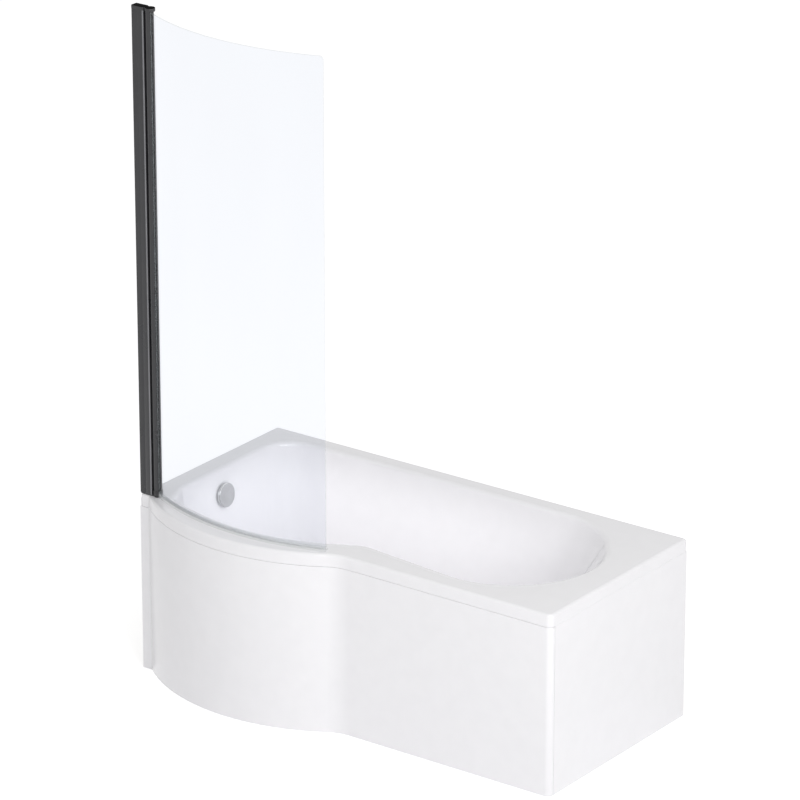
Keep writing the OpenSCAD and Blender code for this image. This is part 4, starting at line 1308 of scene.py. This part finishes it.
# --- Overflow cover, body and seal ---
# A round chromed cover stands off the wall of the well, so that water runs in behind its
# rim. The elbow behind the wall is white plastic, on a black ring.
cover_r = 0.0375
cover_face = 0.013
cover_rim = 0.004
cover_bore_r = cover_r - 0.0015
stem_r = 0.004
overflow_stem = 0.020
to_overflow = Matrix.Translation(overflow_place) @ overflow_turn
cover_disc = lathed(rounded_section([
    (0, cover_face), (cover_r - 0.0025, cover_face), (cover_r - 0.0007, cover_face - 0.0008),
    (cover_r, cover_face - 0.0025), (cover_r, cover_rim), (cover_bore_r, cover_rim),
    (cover_bore_r, cover_face - 0.003), (0, cover_face - 0.003),
], 0.0006, 4), 96)
cover_stem = lathed(rounded_section([
    (0, -overflow_stem), (stem_r, -overflow_stem), (stem_r, cover_face - 0.002), (0, cover_face - 0.002),
], 0.0004), 32)
shape = set_at(joined([cover_disc, cover_stem]), to_overflow)
cover = make_piece("chrome_overflow_cover", *shape, chrome, "bath", ["overflow_cover"])
softened("overflow_seal", "rubber_overflow_seal", rubber, "bath", 0.0002)
softened("overflow_body", "moulded_overflow_elbow", white_plastic, "bath", 0.0006)

# --- Overflow hose ---
# A ribbed white hose drops from the elbow, turns under the well and runs to the waste body.
hose_r = 0.015
hose_bore_r = 0.011
hose_low_r = 0.0125
rib_pitch = 0.006
bend_r = 0.046
hose_low, hose_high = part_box("overflow_hose")
hose_drop_x = hose_low.x + hose_r
hose_line_z = hose_low.z + hose_r
hose_y = (hose_low.y + hose_high.y) / 2


def hose_path(step):
    """Places and directions along the hose, from its top to the waste."""
    drop = hose_high.z - hose_line_z - bend_r
    run = hose_high.x - hose_drop_x - bend_r
    bend = bend_r * math.pi / 2
    count = int((drop + bend + run) / step)
    for i in range(count + 1):
        s = (drop + bend + run) * i / count
        if s < drop:
            yield Vector((hose_drop_x, hose_y, hose_high.z - s)), Vector((0, 0, -1))
        elif s < drop + bend:
            a = (s - drop) / bend_r
            centre = Vector((hose_drop_x + bend_r, hose_y, hose_line_z + bend_r))
            yield (centre + bend_r * Vector((-math.cos(a), 0, -math.sin(a))),
                   Vector((math.sin(a), 0, -math.cos(a))))
        else:
            yield (Vector((hose_drop_x + bend_r + s - drop - bend, hose_y, hose_line_z)),
                   Vector((1, 0, 0)))


def hose_skin(sides=32, steps_per_rib=6):
    """The ribbed outside of the hose and its smooth bore."""
    outer = []
    inner = []
    for i, (middle, way) in enumerate(hose_path(rib_pitch / steps_per_rib)):
        wave = 0.5 - 0.5 * math.cos(2 * math.pi * i / steps_per_rib)
        side = Vector((0, 1, 0))
        up = way.cross(side)
        for radius, rings in ((hose_low_r + (hose_r - hose_low_r) * wave, outer), (hose_bore_r, inner)):
            ring = []
            for k in range(sides):
                a = 2 * math.pi * k / sides
                ring.append(middle + radius * (math.cos(a) * side + math.sin(a) * up))
            rings.append(ring)
    return skin(outer + inner[::-1], loop=True)


hose_plastic = plain_finish("white_hose", paint(214, 214, 208), paint(226, 226, 221), (0.4, 0.55),
                            0.0012, 0.00003)
hose = make_piece("ribbed_hose", *hose_skin(), hose_plastic, "bath", ["overflow_hose"], 60)
softened("hose_nuts", "moulded_hose_nuts", white_plastic, "bath", 0.0010)

# --- Room, lamps and camera ---
# A plain white studio sweep: the floor keeps a soft shadow of the bath, and two broad lamps
# and a pale room light it from the front and the right.
floor_span = 60.0
floor_tone = (0.85, 0.85, 0.86, 1)
floor_glow = 0.55
room_light = 0.555


def looked_at(tree):
    """1 for what is seen directly, mirrored or through glass, and 0 for light that falls on things."""
    rays = tree.nodes.new("ShaderNodeLightPath")
    seen = rays.outputs["Is Camera Ray"]
    for kind in ("Is Glossy Ray", "Is Transmission Ray"):
        either = tree.nodes.new("ShaderNodeMath")
        either.operation = "MAXIMUM"
        tree.links.new(seen, either.inputs[0])
        tree.links.new(rays.outputs[kind], either.inputs[1])
        seen = either.outputs["Value"]
    return seen


def floor_finish():
    """Pale paint that takes the shadow of the bath, and shows white where it is looked at."""
    material = bpy.data.materials.new("studio_floor")
    material.use_nodes = True
    tree = material.node_tree
    tree.nodes.clear()
    output = tree.nodes.new("ShaderNodeOutputMaterial")
    lit = tree.nodes.new("ShaderNodeBsdfDiffuse")
    lit.inputs["Color"].default_value = floor_tone
    glow = tree.nodes.new("ShaderNodeEmission")
    strength = tree.nodes.new("ShaderNodeMath")
    strength.operation = "MULTIPLY"
    strength.inputs[1].default_value = floor_glow
    added = tree.nodes.new("ShaderNodeAddShader")
    tree.links.new(looked_at(tree), strength.inputs[0])
    tree.links.new(strength.outputs["Value"], glow.inputs["Strength"])
    tree.links.new(lit.outputs["BSDF"], added.inputs[0])
    tree.links.new(glow.outputs["Emission"], added.inputs[1])
    tree.links.new(added.outputs["Shader"], output.inputs["Surface"])
    return material


build = bmesh.new()
bmesh.ops.create_grid(build, x_segments=1, y_segments=1, size=floor_span / 2)
studio_floor = add_object("studio_floor", mesh_of(build, "studio_floor"))
studio_floor.data.materials.append(floor_finish())


def studio_room():
    """A world that is white where it is looked at, and lights the bath a little less."""
    room = bpy.data.worlds.new("studio_room")
    room.use_nodes = True
    tree = room.node_tree
    tree.nodes.clear()
    output = tree.nodes.new("ShaderNodeOutputWorld")
    sky = tree.nodes.new("ShaderNodeBackground")
    sky.inputs["Color"].default_value = (1, 1, 1, 1)
    tree.links.new(spread(tree, looked_at(tree), room_light, 1.0, 0.0, 1.0), sky.inputs["Strength"])
    tree.links.new(sky.outputs["Background"], output.inputs["Surface"])
    return room


bpy.context.scene.world = studio_room()

lamp_aim = Vector((0.0, 0.0, 0.5))
lamp_span = (3.5, 3.0)


def add_lamp(name, place, target, span, power):
    """A broad rectangular lamp at a place, turned to a target."""
    lamp = bpy.data.lights.new(name, "AREA")
    lamp.shape = "RECTANGLE"
    lamp.size, lamp.size_y = span
    lamp.energy = power
    obj = add_object(name, lamp)
    obj.location = place
    obj.rotation_euler = (target - place).to_track_quat("-Z", "Y").to_euler()


add_lamp("front_lamp", Vector((3.639, -5.197, 3.458)), lamp_aim, lamp_span, 76)
add_lamp("right_lamp", Vector((5.494, -3.172, 3.458)), lamp_aim, lamp_span, 125)

# A soft lamp just below the brim fills the well
well_middle = at(0.56, 0.35)
well_span = (0.84, 0.34)
under_brim = rim_h - 0.004
add_lamp("well_lamp", Vector((*well_middle, under_brim)), Vector((*well_middle, floor_z)), well_span, 0.44)

# The lens and place at which a real bath of this length fills the frame as photographed
camera_place = (8.389, -11.4625, 6.479)
camera_tilt = math.radians(68.73)
camera_turn = math.radians(36.17)
camera_data = bpy.data.cameras.new("camera")
camera_data.sensor_width = 36
camera_data.lens = 236.66
camera = add_object("camera", camera_data)
camera.location = camera_place
camera.rotation_euler = Euler((camera_tilt, 0, camera_turn))
bpy.context.scene.camera = camera
bpy.context.scene.view_settings.view_transform = "Standard"
